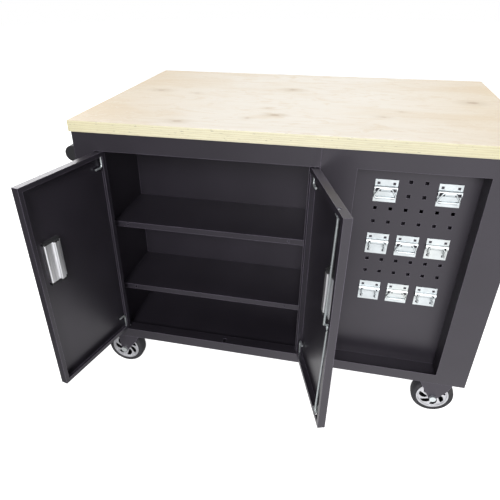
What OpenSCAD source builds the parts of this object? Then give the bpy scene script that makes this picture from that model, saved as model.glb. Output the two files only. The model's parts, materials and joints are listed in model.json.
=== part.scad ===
// Tool trolley with workbench: a steel cabinet on four casters under a plywood top.
// Lengths are in millimetres. Z is up, and the front with the two doors faces -Y.
// The origin lies on the floor, under the middle of the trolley with its doors open.

/* [Cabinet] */
// Depth of the steel cabinet
cabinet_d = 720; // [690:1:800]
// Height of the steel cabinet, without its casters and its worktop
cabinet_h = 685; // [670:1:760]
// Width of the cupboard half of the front
cupboard_half_w = 655; // [600:1:720]
// Thickness of the sheet steel
sheet = 1.5; // [1.2:0.1:1.8]
// Height of the front band over the doors
fascia_h = 51; // [45:1:60]
// Height of the bottom rail
rail_h = 33; // [30:1:40]
// Depth of the bottom rail's folded top
rail_fold_d = 34; // [28:1:38]
// Width of the post left of the doors
left_post_w = 58; // [50:1:64]
// Height of the floor sheet over the cabinet's underside
floor_h = 20; // [18:0.5:24]
// Thickness of the base plate that carries the casters
base_t = 2.5; // [2:0.1:4]
// Depth of the folded edges under the worktop
top_fold_d = 20; // [15:1:28]

/* [Worktop] */
// Thickness of the plywood top
top_t = 30; // [24:1:40]
// Overhang of the top in front
over_front = 10; // [5:1:30]
// Overhang of the top at the back
over_rear = 10; // [9:1:30]
// Overhang of the top on the left
over_left = 2; // [0:1:20]
// Overhang of the top on the right
over_right = 11; // [5:1:30]
// Height of the braces under the top
brace_h = 24; // [20:1:24]
// Width of a brace
brace_w = 50; // [40:1:60]
// Distance of the outer braces from the sides of the wide drawers
brace_in = 70; // [40:1:120]
// Width that the base channels have beyond the caster bolts
channel_margin = 30; // [24:1:60]

/* [Cupboard] */
// Depth from the front face to the cupboard's back wall
cupboard_d = 246; // [200:1:260]
// Width of the step between the door opening and the cupboard's left wall
liner_step = 7; // [7:0.5:16]
// Distance of the cupboard's right wall from the seam between the halves
liner_right_gap = 28; // [20:1:40]
// Height of the lower shelf's top over the cabinet's underside
shelf_low_h = 187; // [140:1:230]
// Height of the upper shelf's top over the cabinet's underside
shelf_high_h = 409; // [360:1:460]
// Distance of the shelves' front edge from the front face
shelf_front = 40; // [34:1:60]
// Height of the shelves' folded edges
shelf_lip = 17; // [12:1:25]
// Distance of the shelf pins from the shelf's front and back
shelf_pin_in = 30; // [20:1:50]
// Play between a shelf and the walls
shelf_play = 0.5; // [0.3:0.1:1]
// Radius of a shelf pin
shelf_pin_r = 3; // [2.5:0.1:4]

/* [Doors] */
// Thickness of the doors
door_t = 19.5; // [18.5:0.1:22]
// Gap over and under the doors
door_gap = 2; // [1.5:0.1:3]
// Gap between the closed doors
door_mid_gap = 3; // [2:0.1:6]
// Distance of the hinge axis behind the doors' outer face
pin_depth = 8; // [7.5:0.1:8.4]
// Distance of the hinge axis from the door's own edge
pin_edge = 6.5; // [6:0.1:7]
// Distance of the hinge axis from the edge of the door opening
pin_setback = 11.5; // [11:0.1:12.5]
// Radius of the hinge pins
pin_r = 3; // [2.5:0.1:3.4]
// Distance of a hinge pin's bend from the door's upper or lower edge
pin_bend = 46; // [30:1:56]
// Length of a hinge pin's bent leg
pin_leg = 25; // [16:1:32]
// Reach of a hinge pin into the frame
pin_grip = 6; // [4:0.5:10]
// Width of the folded lip inside the door's edges
door_lip = 12; // [9:0.5:16]
// Angle of the open left door
left_open = 104; // [0:1:106]
// Angle of the open right door
right_open = 108; // [0:1:109]
// Running play of pins and shafts, on the radius
play = 0.05; // [0.03:0.01:0.08]

/* [Door pulls] */
// Width of a pull's body
pull_w = 52; // [46:1:54]
// Height of a pull with its two end caps
pull_h = 122; // [90:1:130]
// Height of an end cap
pull_cap_h = 7; // [5:0.5:12]
// Distance of the pull's middle from the door's free edge
pull_edge = 66; // [60:1:76]
// Height of the pull's middle over the cabinet's underside
pull_z = 407; // [405:1:440]
// Depth of the pull's body behind the outer face
pull_depth = 10.5; // [8.5:0.1:11]
// Radius of the body's back edge towards the door's free edge
pull_round = 4; // [3:0.5:7]
// Depth of the ridge for the finger tips behind the outer face
ridge_depth = 17.8; // [14:0.1:18]
// Width of this ridge
ridge_w = 16; // [12:1:18]
// Distance of this ridge from the body's edge on the hinge side
ridge_in = 8; // [4:1:10]
// Wall of the pull
pull_wall = 2; // [1.5:0.1:2.5]
// Width and thickness of the pull's rim on the outer face
pull_rim = [5, 2];

/* [Lock] */
// Distance of the lock from the door's free edge
lock_edge = 43; // [38:1:48]
// Height of the lock over the cabinet's underside
lock_z = 328; // [315:1:333]
// Radius of the lock barrel
lock_r = 9; // [8:0.1:10]
// Distance of the rods' joints from the middle of the cam
cam_reach = 14; // [12:0.5:16]
// Slope of the cam while the door is unlocked and while it is locked
cam_slopes = [5, 30];
// Radius of the locking rods
rod_r = 3; // [2:0.1:3]
// Depth of the rods behind the door's outer face
rod_depth = 14.6; // [14.4:0.1:14.7]
// Distance of the rods' far ends from the door's free edge
rod_edge = 46; // [41:1:50]
// Distance of the rod guides from the door's upper and lower edge
guide_in = 14; // [8:1:25]
// Width of a rod guide
guide_w = 24; // [16:1:30]
// Thickness of a rod guide
guide_t = 2; // [1.5:0.1:3]

/* [Tool bay] */
// Width of the post between the doors and the bay
bay_post_w = 87; // [80:1:100]
// Width of the bay
bay_w = 297; // [270:1:330]
// Width of the post right of the bay
right_post_w = 85; // [78:1:95]
// Height of the front band over the bay
bay_fascia_h = 48; // [40:1:60]
// Depth of the bay
bay_d = 63; // [50:1:75]
// Spacing of the square holes
peg_pitch = 38; // [34:1:40]
// Width of a square hole
peg_hole = 9; // [8:0.1:10]
// Least distance of the holes' middles from the bay's sides
peg_margin = 36; // [30:1:37]
// Number of hole rows
peg_rows = 10; // [10:1:14]
// Height of the top row's middle under the bay's upper edge
peg_drop = 47; // [30:1:60]
// Sideways shift of the holes from the middle of the bay
peg_shift = 5; // [-10:1:10]

/* [Tool holders] */
// Width of a holder plate
plate_w = 56; // [50:1:62]
// Height of a holder plate
plate_h = 60; // [56:1:66]
// Thickness of a holder plate
plate_t = 1.5; // [1.2:0.1:2]
// Height of a plate's upper edge over its row of holes
plate_rise = 3; // [2:0.5:4]
// Distance of the hump's middle under the plate's upper edge
hump_at = 24; // [22:0.5:26]
// Outer radius of the rolled hump
hump_r = 8.5; // [8:0.1:9]
// Width of the square holes in a plate
plate_hole = 7; // [5:0.5:8]
// Distance of these holes' middles from the plate's upper and lower edge
plate_hole_in = [10, 11];
// Radius of the wire of rings and hooks
wire_r = 2.2; // [1.8:0.1:2.2]
// Drop of a ring from its pivot to its lower bar
ring_drop = 24; // [20:1:28]
// Width of a ring over its round lower corners
ring_w = 62; // [58:1:66]
// Distance of a ring's legs from its middle, inside the hump
ring_neck = 15; // [13:1:16]
// Distance of the rings' axis in front of the panel
ring_out = 4.4; // [4.2:0.1:4.6]
// Radius of the bends in rings
ring_bend = 5; // [4:0.1:6]
// Radius of the bend in a hook
hook_bend = 6; // [5:0.1:8]
// Height of a hook's tip over its bend
hook_tip = 4; // [3:0.5:6]

/* [Casters] */
// Height of the casters, from the floor to the cabinet's underside
caster_h = 155; // [153:1:165]
// Diameter of a wheel
wheel_d = 125; // [120:1:128]
// Width of a wheel
wheel_w = 40; // [34:1:42]
// Diameter of the rim inside the tyre
rim_d = 94; // [88:1:100]
// Distance of the casters' middle from the front or back face
caster_in_y = 63; // [58:1:80]
// Distance of the casters' middle from the cabinet's sides
caster_in_x = 66; // [60:1:80]
// Distance of a swivelling wheel's axle from its swivel axis
trail = 31; // [26:1:34]
// Thickness of the forks and the caster plates
fork_t = 3; // [2.5:0.1:3.5]
// Radius of the axles
axle_r = 5; // [4:0.1:6]
// Width across the caster plate, along X and along Y
plate_xy = [95, 105];
// Spacing of the caster bolts, along X and along Y
bolt_xy = [70, 80];
// Radius of a caster bolt
bolt_r = 4; // [3:0.1:4.5]

/* [Push handle] */
// Reach of the handle from the cabinet's side
handle_reach = 44; // [43:1:60]
// Distance of the handle's middle under the cabinet's upper edge
handle_drop = 72; // [45:1:125]
// Height of a handle bracket
bracket_h = 44; // [36:1:50]
// Thickness of a handle bracket
bracket_t = 28; // [20:1:36]
// Distance of the brackets from the front and back face
bracket_in = 22; // [15:1:60]
// Radius of the handle tube
tube_r = 11; // [9:0.5:13]
// Wall of the handle tube
tube_wall = 1.5; // [1:0.1:2.5]
// Plastic between the tube and the bracket's outer face
bracket_wall = 4; // [3:0.5:6]

/* [Drawers] */
// Width of the rear posts beside the drawers
rear_post_w = 30; // [26:1:36]
// Distance of the drawer openings from the seam between the halves
seam_post_w = 25; // [22:1:30]
// Height of the rear band over the drawers
rear_fascia_h = 26; // [25.5:0.5:40]
// Height of the top drawers' fronts
drawer_top_h = 150; // [120:1:180]
// Height of the middle drawers' fronts
drawer_mid_h = 200; // [160:1:230]
// Gap round the drawer fronts
front_gap = 3; // [2:0.1:4]
// Thickness of a drawer's folded front
front_t = 18; // [14:1:24]
// Width of a ball-bearing slide
slide_w = 12.7; // [12:0.1:14]
// Height of a ball-bearing slide
slide_h = 45; // [35:1:50]
// Play between the moving parts of a slide
slide_play = 0.3; // [0.3:0.05:0.5]
// Height of a drawer's side under the top of its front
side_drop = 30; // [24:1:40]
// Reach of a drawer's full-width pull
grip_reach = 8; // [6:0.5:8.5]
// Height of a drawer's full-width pull
grip_h = 24; // [18:1:30]
// Travel of the drawers
drawer_travel = 330; // [250:1:360]

/* [Hidden] */
$fn = 48;
// Extra length of a cutting shape past the face it cuts
over = 1;
// Smallest gap between pieces that pass each other
clear = 0.3;

steel = [0.30, 0.29, 0.31];
steel_dark = [0.20, 0.19, 0.21];
zinc = [0.82, 0.83, 0.84];
alu = [0.74, 0.75, 0.77];
ply = [0.90, 0.80, 0.64];
rubber = [0.22, 0.22, 0.23];
plastic = [0.14, 0.14, 0.15];

// Heads of the small screws round the doors
screw_r = 3;
screw_h = 1.2;

// Width of the steel cabinet
cabinet_w = cupboard_half_w + bay_post_w + bay_w + right_post_w;

// Levels
base_z = caster_h;
floor_z = base_z + floor_h;
top_z = base_z + cabinet_h;
opening_low = base_z + rail_h;
opening_high = top_z - fascia_h;
brace_z = top_z - brace_h;

// Door opening and hinge axes
opening_left = left_post_w;
opening_right = cupboard_half_w - sheet;
pin_left_x = opening_left + pin_setback;
pin_right_x = opening_right - pin_setback;
door_l = (pin_right_x - pin_left_x - door_mid_gap) / 2;
pull_at = door_l - pull_edge;
lock_at = door_l - lock_edge;
rod_at = door_l - rod_edge;
door_low = opening_low + door_gap;
door_high = opening_high - door_gap;
swing_r = norm([pin_edge, door_t - pin_depth]);
return_d = pin_depth + swing_r + clear + sheet;

// Cupboard
liner_left = opening_left + liner_step;
liner_right = cupboard_half_w - liner_right_gap;
shelf_back = cupboard_d - shelf_play;

// Lock
cam_t = 1.2;
cam_y = rod_depth - rod_r - clear - cam_t - pin_depth;
rod_sink = 1.8;

// Tool bay
bay_left = cupboard_half_w + bay_post_w;
bay_right = bay_left + bay_w;
bay_high = top_z - bay_fascia_h;
peg_cols = floor((bay_w - 2 * peg_margin) / peg_pitch) + 1;
peg_x0 = (bay_left + bay_right) / 2 + peg_shift - (peg_cols - 1) / 2 * peg_pitch;
peg_z0 = bay_high - peg_drop;
panel_edge = 15;

// Holder plates as [column, row] of their upper left hole
last_pair = peg_cols - 2;
mid_pair = floor(last_pair / 2);
RING_SEATS = [[0, 0], [last_pair, 0], [mid_pair, 4], [mid_pair, 8]];
HOOK_SEATS = [[0, 4], [last_pair, 4], [0, 8], [last_pair, 8]];
hump_z = plate_rise - hump_at;
hump_inner = hump_r - plate_t;
notch_gap = 1;
tab_t = 1;

// Casters
axle_z = wheel_d / 2;
fork_gap = wheel_w + 7;
swivel_x = caster_in_x;
fixed_x = cabinet_w - caster_in_x;
front_y = caster_in_y;
rear_y = cabinet_d - caster_in_y;
race_h = 9;
race_r = 26;
king_r = 6;
king_head = [10, 4];
fork_top = base_z - fork_t - race_h - clear;
nut_r = 9.5;
nut_t = 9;
leg_end_r = 12;
pedal_pivot = [-trail - 9, fork_top - 11];
pedal_reach = trail + wheel_d / 2 + 14.5;

// Drawer banks as [low x, high x, start of the side walls]
wide_bank = [rear_post_w, cupboard_half_w - seam_post_w, cupboard_d + 12];
narrow_bank = [cupboard_half_w + seam_post_w, cabinet_w - rear_post_w, bay_d + sheet + 12];
bank_low = base_z + rail_h;
bank_high = top_z - rear_fascia_h;
drawer_low_h = bank_high - bank_low - drawer_top_h - drawer_mid_h - 4 * front_gap;

// Plan limits of the trolley with its doors open, and the middle between them
function turned_y(s, w, a) = -s * sin(a) + w * cos(a);
function door_front(a) = min([for (s = [-pin_edge, door_l], w = [-pin_depth, door_t - pin_depth])
    turned_y(s, w, a)]);
limit_left = -max(handle_reach, pedal_reach - swivel_x, over_left);
limit_right = cabinet_w + over_right;
limit_front = min(pin_depth + min(door_front(left_open), door_front(right_open)), -over_front);
limit_back = cabinet_d + over_rear;
middle = [(limit_left + limit_right) / 2, (limit_front + limit_back) / 2];

// Places what is drawn from the cabinet's left front corner into the trolley's own frame
module trolley() { translate([-middle[0], -middle[1], 0]) children(); }

// Box between two opposite corners
module block(a, b) { translate(a) cube(b - a); }

// Cylinder along Y from y = a to y = b, with its axis at [x, z]
module rod_y(x, z, a, b, r) { translate([x, a, z]) rotate([-90, 0, 0]) cylinder(h = b - a, r = r); }

// Flat shape in [x, z] that is drawn from y = a to y = b
module slab_y(a, b) { translate([0, b, 0]) rotate([90, 0, 0]) linear_extrude(b - a) children(); }

// Hexagonal prism along Z
module hex(across, h) { cylinder(h = h, r = across / 2 / cos(30), $fn = 6); }

// Cabinet shell

module worktop() {
    trolley() color(ply)
        block([-over_left, -over_front, top_z],
            [cabinet_w + over_right, cabinet_d + over_rear, top_z + top_t]);
}

// One upturned channel under the worktop, running from front to back
module brace(x) {
    difference() {
        block([x, sheet + top_fold_d, brace_z],
            [x + brace_w, cabinet_d - sheet - top_fold_d, top_z]);
        block([x + sheet, top_fold_d, brace_z + sheet],
            [x + brace_w - sheet, cabinet_d - top_fold_d, top_z + over]);
    }
}

module top_braces() {
    trolley() color(steel_dark)
        for (x = [wide_bank[0] + brace_in, wide_bank[1] - brace_in - brace_w,
                (narrow_bank[0] + narrow_bank[1] - brace_w) / 2]) brace(x);
}

module side_sheet(x) {
    block([x, sheet, base_z], [x + sheet, cabinet_d - sheet, top_z]);
}

module left_side() { trolley() color(steel) side_sheet(0); }

module right_side() { trolley() color(steel) side_sheet(cabinet_w - sheet); }

// Channel between the base plate and the floor sheet, over one pair of casters
module base_channel(y) {
    w = bolt_xy[1] + channel_margin;
    difference() {
        block([sheet, y - w / 2, base_z + base_t], [cabinet_w - sheet, y + w / 2, floor_z - sheet]);
        block([0, y - w / 2 + sheet, base_z], [cabinet_w, y + w / 2 - sheet, floor_z - sheet * 2]);
    }
}

module base_frame() {
    trolley() color(steel_dark) difference() {
        union() {
            block([sheet, sheet, base_z],
                [cabinet_w - sheet, cabinet_d - sheet, base_z + base_t]);
            for (y = [front_y, rear_y]) base_channel(y);
        }
        caster_spots() bolt_spots() translate([0, 0, base_z - over])
            cylinder(h = base_t + 2 * over, r = bolt_r + play);
    }
}

module cabinet_floor() {
    trolley() color(steel_dark)
        block([sheet, sheet, floor_z - sheet], [cabinet_w - sheet, cabinet_d - sheet, floor_z]);
}

// Front plate round the doors, with folded edges that the hinge pins and rods pass
module cupboard_frame() {
    lock_x = pin_right_x - rod_at;
    trolley() color(steel) difference() {
        union() {
            difference() {
                block([0, 0, base_z], [cupboard_half_w, sheet, top_z]);
                block([opening_left, -over, opening_low],
                    [opening_right, sheet + over, opening_high]);
            }
            // Folded edges beside the doors and their lips
            block([opening_left - sheet, 0, opening_low - sheet],
                [opening_left, return_d, opening_high + sheet]);
            block([opening_right, 0, floor_z], [cupboard_half_w, return_d, top_z - sheet]);
            block([opening_left - sheet, return_d - sheet, opening_low],
                [liner_left, return_d, opening_high]);
            block([liner_right, return_d - sheet, opening_low],
                [cupboard_half_w, return_d, opening_high]);
            // Folded edges over and under the doors
            block([opening_left - sheet, 0, opening_high],
                [cupboard_half_w, return_d, opening_high + sheet]);
            block([opening_left - sheet, 0, opening_low - sheet],
                [cupboard_half_w, return_d, opening_low]);
            block([liner_left, 0, opening_low - sheet], [liner_right, rail_fold_d, opening_low]);
            // Folded edge under the worktop
            block([sheet, 0, top_z - sheet], [cupboard_half_w, sheet + top_fold_d, top_z]);
        }
        for (x = [pin_left_x, pin_right_x], z = [opening_low - sheet, opening_high])
            translate([x, pin_depth, z - over]) cylinder(h = sheet + 2 * over, r = pin_r + play);
        for (z = [opening_low - sheet, opening_high])
            block([lock_x - rod_r - 2, sheet + 2, z - over],
                [lock_x + rod_r + 2, return_d - sheet, z + sheet + over]);
    }
}

// Front plate round the tool bay, with side walls that reach back to the peg panel
module bay_frame() {
    trolley() color(steel) union() {
        difference() {
            block([cupboard_half_w, 0, base_z], [cabinet_w, sheet, top_z]);
            block([bay_left, -over, opening_low], [bay_right, sheet + over, bay_high]);
        }
        block([bay_left - sheet, 0, floor_z], [bay_left, bay_d, bay_high + sheet]);
        block([bay_right, 0, floor_z], [bay_right + sheet, bay_d, bay_high + sheet]);
        block([bay_left - sheet, 0, bay_high], [bay_right + sheet, bay_d, bay_high + sheet]);
        block([cupboard_half_w, 0, top_z - sheet],
            [cabinet_w - sheet, sheet + top_fold_d, top_z]);
    }
}

module divider() {
    trolley() color(steel_dark)
        block([cupboard_half_w - sheet, return_d, floor_z],
            [cupboard_half_w, cabinet_d - sheet, top_z - sheet]);
}

// Side, back and top walls of the cupboard, folded from one sheet
module cupboard_liner() {
    trolley() color(steel_dark) difference() {
        block([liner_left - sheet, return_d, floor_z],
            [liner_right + sheet, cupboard_d + sheet, brace_z]);
        block([liner_left, return_d - over, floor_z - over],
            [liner_right, cupboard_d, brace_z - sheet]);
        shelf_pin_spots() rotate([0, 90, 0])
            translate([0, 0, -sheet - over]) cylinder(h = sheet + 2 * over, r = shelf_pin_r + play);
    }
}

module peg_panel() {
    trolley() color(steel) difference() {
        block([bay_left - panel_edge, bay_d, floor_z],
            [bay_right + panel_edge, bay_d + sheet, bay_high + panel_edge]);
        for (c = [0 : peg_cols - 1], r = [0 : peg_rows - 1])
            translate([peg_x0 + c * peg_pitch, bay_d + sheet / 2, peg_z0 - r * peg_pitch])
                cube([peg_hole, sheet + 2 * over, peg_hole], center = true);
    }
}

// Back plate with the two drawer openings
module rear_frame() {
    trolley() color(steel) union() {
        difference() {
            block([0, cabinet_d - sheet, base_z], [cabinet_w, cabinet_d, top_z]);
            for (bank = [wide_bank, narrow_bank])
                block([bank[0], cabinet_d - sheet - over, bank_low],
                    [bank[1], cabinet_d + over, bank_high]);
        }
        block([sheet, cabinet_d - sheet - top_fold_d, top_z - sheet],
            [cabinet_w - sheet, cabinet_d, top_z]);
    }
}

// Upright sheets that carry the drawer slides
module drawer_walls() {
    trolley() color(steel_dark)
        for (bank = [wide_bank, narrow_bank], x = [bank[0] - sheet, bank[1]])
            block([x, bank[2], floor_z], [x + sheet, cabinet_d - sheet, brace_z]);
}

// Shelves and their pins

// Places for the shelf pins, on both cupboard walls, pointing into the cupboard
module shelf_pin_spots() {
    for (h = [shelf_low_h, shelf_high_h], y = [shelf_front + shelf_pin_in, shelf_back - shelf_pin_in]) {
        z = base_z + h - sheet - shelf_pin_r;
        translate([liner_left, y, z]) children();
        translate([liner_right, y, z]) mirror([1, 0, 0]) children();
    }
}

module shelf(h) {
    z = base_z + h;
    left = liner_left + shelf_play;
    right = liner_right - shelf_play;
    difference() {
        block([left, shelf_front, z - shelf_lip], [right, shelf_back, z]);
        block([left - over, shelf_front + sheet, z - shelf_lip - over],
            [right + over, shelf_back - sheet, z - sheet]);
        for (x = [left + 1.4 * shelf_pin_in, right - 1.4 * shelf_pin_in])
            rod_y(x, z - shelf_lip / 2, shelf_front - over, shelf_front + sheet + over, 3);
    }
}

module shelf_upper() { trolley() color(steel_dark) shelf(shelf_high_h); }

module shelf_lower() { trolley() color(steel_dark) shelf(shelf_low_h); }

// A pin that passes the wall, with its head outside the cupboard
module shelf_pins() {
    trolley() color(zinc) shelf_pin_spots() rotate([0, 90, 0]) translate([0, 0, -sheet]) {
        cylinder(h = sheet + 9, r = shelf_pin_r);
        translate([0, 0, -1.2]) cylinder(h = 1.2, r = shelf_pin_r + 1.5);
    }
}

// Doors, drawn with the hinge axis at the origin and the free edge along +X

module on_left_door() {
    trolley() translate([pin_left_x, pin_depth, 0]) rotate([0, 0, -left_open]) children();
}

module on_right_door() {
    trolley() translate([pin_right_x, pin_depth, 0]) rotate([0, 0, right_open])
        mirror([1, 0, 0]) children();
}

// Opening in the outer skin for the pull
module pull_cut() {
    block([pull_at - pull_w / 2 - clear, -pin_depth - over, base_z + pull_z - pull_h / 2 - clear],
        [pull_at + pull_w / 2 + clear, sheet - pin_depth + over,
            base_z + pull_z + pull_h / 2 + clear]);
}

// Shallow steel pan with folded edges and inner lips
module door_pan() {
    skin = -pin_depth;
    back = door_t - pin_depth;
    difference() {
        block([-pin_edge, skin, door_low], [door_l, back, door_high]);
        block([sheet - pin_edge, skin + sheet, door_low + sheet],
            [door_l - sheet, back - sheet, door_high - sheet]);
        block([door_lip - pin_edge, skin + sheet, door_low + door_lip],
            [door_l - door_lip, back + over, door_high - door_lip]);
        for (z = [door_low, door_high - sheet])
            translate([0, 0, z - over]) cylinder(h = sheet + 2 * over, r = pin_r + play);
        pull_cut();
    }
}

module door_left() { on_left_door() color(steel) door_pan(); }

module door_right() {
    on_right_door() color(steel) difference() {
        door_pan();
        rod_y(lock_at, base_z + lock_z, -pin_depth - over, sheet - pin_depth + over, lock_r + play);
        for (z = [door_low, door_high - sheet])
            block([rod_at - rod_r - 1, rod_depth - rod_r - 1 - pin_depth, z - over],
                [rod_at + rod_r + 1, rod_depth + rod_r + 0.5 - pin_depth, z + sheet + over]);
    }
}

// Plan of a pull's body from its rim to its back, smaller by the inset all round: it is round
// towards the door's free edge, and the ridge for the finger tips stands on its hinge side
module pull_plan(inset, front) {
    half = pull_w / 2 - inset;
    round = pull_round - inset;
    back = pull_depth - inset;
    corner = pull_wall + 1 - inset;
    ridge_left = ridge_in - pull_w / 2 + inset;
    ridge_right = ridge_in - pull_w / 2 + ridge_w - inset;
    ridge_back = ridge_depth - inset;
    translate([-half, front]) square([2 * half - round, back - front]);
    translate([0, front]) square([half, back - round - front]);
    translate([half - round, back - round]) circle(r = round);
    translate([ridge_left, front])
        square([ridge_right - ridge_left, ridge_back - corner - front]);
    translate([ridge_left + corner, front])
        square([ridge_right - ridge_left - 2 * corner, ridge_back - front]);
    for (x = [ridge_left + corner, ridge_right - corner])
        translate([x, ridge_back - corner]) circle(r = corner);
}

// Rim of the pull on the door's outer face
module pull_rim_plan() {
    translate([-pull_w / 2 - pull_rim[0], -pull_rim[1]])
        square([pull_w + 2 * pull_rim[0], pull_rim[1]]);
}

// Cross-section of the extruded pull, seen from above, with its outer face towards -Y
module pull_section() {
    difference() {
        union() {
            pull_rim_plan();
            pull_plan(0, -pull_rim[1]);
        }
        pull_plan(pull_wall, -pull_rim[1] - over);
    }
    // Finger lip over the trough
    translate([pull_w / 2 - 16, -pull_rim[1]]) square([16, pull_rim[1]]);
}

// Extrusion with a cap on each end
module pull() {
    color(alu) translate([pull_at, -pin_depth, base_z + pull_z - pull_h / 2])
        translate([0, 0, pull_cap_h]) linear_extrude(pull_h - 2 * pull_cap_h) pull_section();
    color(plastic) translate([pull_at, -pin_depth, base_z + pull_z - pull_h / 2])
        for (z = [0, pull_h - pull_cap_h + play]) translate([0, 0, z])
            linear_extrude(pull_cap_h - play) {
                pull_rim_plan();
                pull_plan(0, -pull_rim[1]);
            }
}

module pull_left() { on_left_door() pull(); }

module pull_right() { on_right_door() pull(); }

// One bent hinge pin: the upright passes the door's edge, the leg lies inside the pan
module bent_pin(tip, foot) {
    low = min(tip, foot);
    translate([0, 0, low]) cylinder(h = abs(tip - foot), r = pin_r);
    translate([0, 0, foot]) rotate([0, 90, 0]) cylinder(h = pin_leg, r = pin_r);
    translate([0, 0, foot]) sphere(r = pin_r);
}

module door_pins() {
    color(zinc) {
        bent_pin(opening_high + sheet + pin_grip, door_high - pin_bend);
        bent_pin(opening_low - sheet - pin_grip, door_low + pin_bend);
    }
}

module pins_left() { on_left_door() door_pins(); }

module pins_right() { on_right_door() door_pins(); }

// Lock on the right door

module lock_barrel() {
    on_right_door() color(zinc) {
        rod_y(lock_at, base_z + lock_z, -pin_depth, cam_y - 0.1, lock_r);
        rod_y(lock_at, base_z + lock_z, -pin_depth - 3, -pin_depth, lock_r + 3);
    }
}

// Turning plate behind the barrel, with a lobe towards each rod
module lock_cam() {
    on_right_door() color(zinc) slab_y(cam_y, cam_y + cam_t)
        translate([lock_at, base_z + lock_z]) rotate(cam_slopes[0]) {
            circle(r = lock_r);
            square([2 * cam_reach, 7], center = true);
            for (x = [-cam_reach, cam_reach]) translate([x, 0]) circle(r = 3.5);
        }
}

// Rod from its joint at the cam, [x0, z0], to the guide in the door's edge at z1
module lock_rod(x0, z0, z1, up) {
    y = rod_depth - pin_depth;
    bend = z1 - up * 40;
    dx = rod_at - x0;
    dz = bend - z0;
    translate([x0, y, z0]) rotate([0, atan2(dx, dz), 0]) cylinder(h = norm([dx, dz]), r = rod_r);
    translate([rod_at, y, bend]) sphere(r = rod_r + 0.2);
    translate([rod_at, y, min(bend, z1)]) cylinder(h = abs(z1 - bend), r = rod_r);
}

module rod_upper() {
    on_right_door() color(zinc)
        lock_rod(lock_at - cam_reach * cos(cam_slopes[0]),
            base_z + lock_z - cam_reach * sin(cam_slopes[0]), door_high - rod_sink, 1);
}

module rod_lower() {
    on_right_door() color(zinc)
        lock_rod(lock_at + cam_reach * cos(cam_slopes[0]),
            base_z + lock_z + cam_reach * sin(cam_slopes[0]), door_low + rod_sink, -1);
}

// Small plates inside the door's edges that steady the rods
module rod_guides() {
    skin = sheet - pin_depth;
    y = rod_depth - pin_depth;
    on_right_door() color(zinc)
        for (z = [door_high - sheet - guide_in - guide_t, door_low + sheet + guide_in])
        difference() {
            block([rod_at - guide_w / 2, skin, z],
                [rod_at + guide_w / 2, y + rod_r + 1, z + guide_t]);
            translate([rod_at, y, z - over]) cylinder(h = guide_t + 2 * over, r = rod_r + play);
        }
}

// Tool holders on the peg panel

module seat(s) {
    translate([peg_x0 + (s[0] + 0.5) * peg_pitch, bay_d, peg_z0 - s[1] * peg_pitch]) children();
}

// Holder plate: a flat plate with a rolled hump across it and two tabs in the panel's holes.
// The hump is notched from near to far, counted from the plate's middle to both sides.
module holder_plate(near, far) {
    difference() {
        union() {
            block([-plate_w / 2, -plate_t, plate_rise - plate_h], [plate_w / 2, 0, plate_rise]);
            translate([-plate_w / 2, 0, hump_z]) rotate([0, 90, 0])
                cylinder(h = plate_w, r = hump_r);
            for (x = [-peg_pitch / 2, peg_pitch / 2])
                block([x - peg_hole / 2 + 1, -plate_t, -tab_t],
                    [x + peg_hole / 2 - 1, sheet + 2, tab_t]);
        }
        translate([-plate_w / 2 - over, 0, hump_z]) rotate([0, 90, 0])
            cylinder(h = plate_w + 2 * over, r = hump_inner);
        block([-plate_w, 0, plate_rise - plate_h], [plate_w, hump_r + over, -tab_t - 0.5]);
        for (x = [-peg_pitch / 2, peg_pitch / 2],
                z = [plate_rise - plate_hole_in[0], plate_rise - plate_h + plate_hole_in[1]])
            translate([x, 0, z]) cube([plate_hole, 4 * plate_t, plate_hole], center = true);
        for (side = [0, 1]) mirror([side, 0, 0])
            block([near, -hump_r - over, hump_z - hump_r],
                [far, 0, hump_z + wire_r + notch_gap]);
    }
}

module holder_plates() {
    trolley() color(zinc) {
        for (s = RING_SEATS) seat(s)
            holder_plate(ring_neck - wire_r - notch_gap, ring_neck + wire_r + hump_r);
        for (s = HOOK_SEATS) seat(s) holder_plate(peg_pitch / 2 - wire_r - notch_gap,
            peg_pitch / 2 + wire_r + notch_gap);
    }
}

// Half of a ring, right of the middle: the bar in the hump, a slanted leg, a cut corner and
// the lower bar, with a ball at each corner
module ring_half() {
    wide = ring_w / 2 - wire_r;
    path = [[0, 0], [ring_neck, 0], [wide, ring_bend - ring_drop],
        [wide - ring_bend, -ring_drop], [0, -ring_drop]];
    for (i = [0:3]) {
        step = path[i + 1] - path[i];
        translate([path[i][0], 0, path[i][1]]) {
            rotate([0, 90 - atan2(step[1], step[0]), 0])
                cylinder(h = norm(step), r = wire_r, $fn = 24);
            if (i > 0) sphere(r = wire_r + 0.05, $fn = 24);
        }
    }
}

module ring(i) {
    trolley() color(zinc) seat(RING_SEATS[i])
        translate([0, -ring_out, hump_z]) {
            ring_half();
            mirror([1, 0, 0]) ring_half();
        }
}

module ring_top_left() { ring(0); }

module ring_top_right() { ring(1); }

module ring_middle() { ring(2); }

module ring_bottom() { ring(3); }

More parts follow.
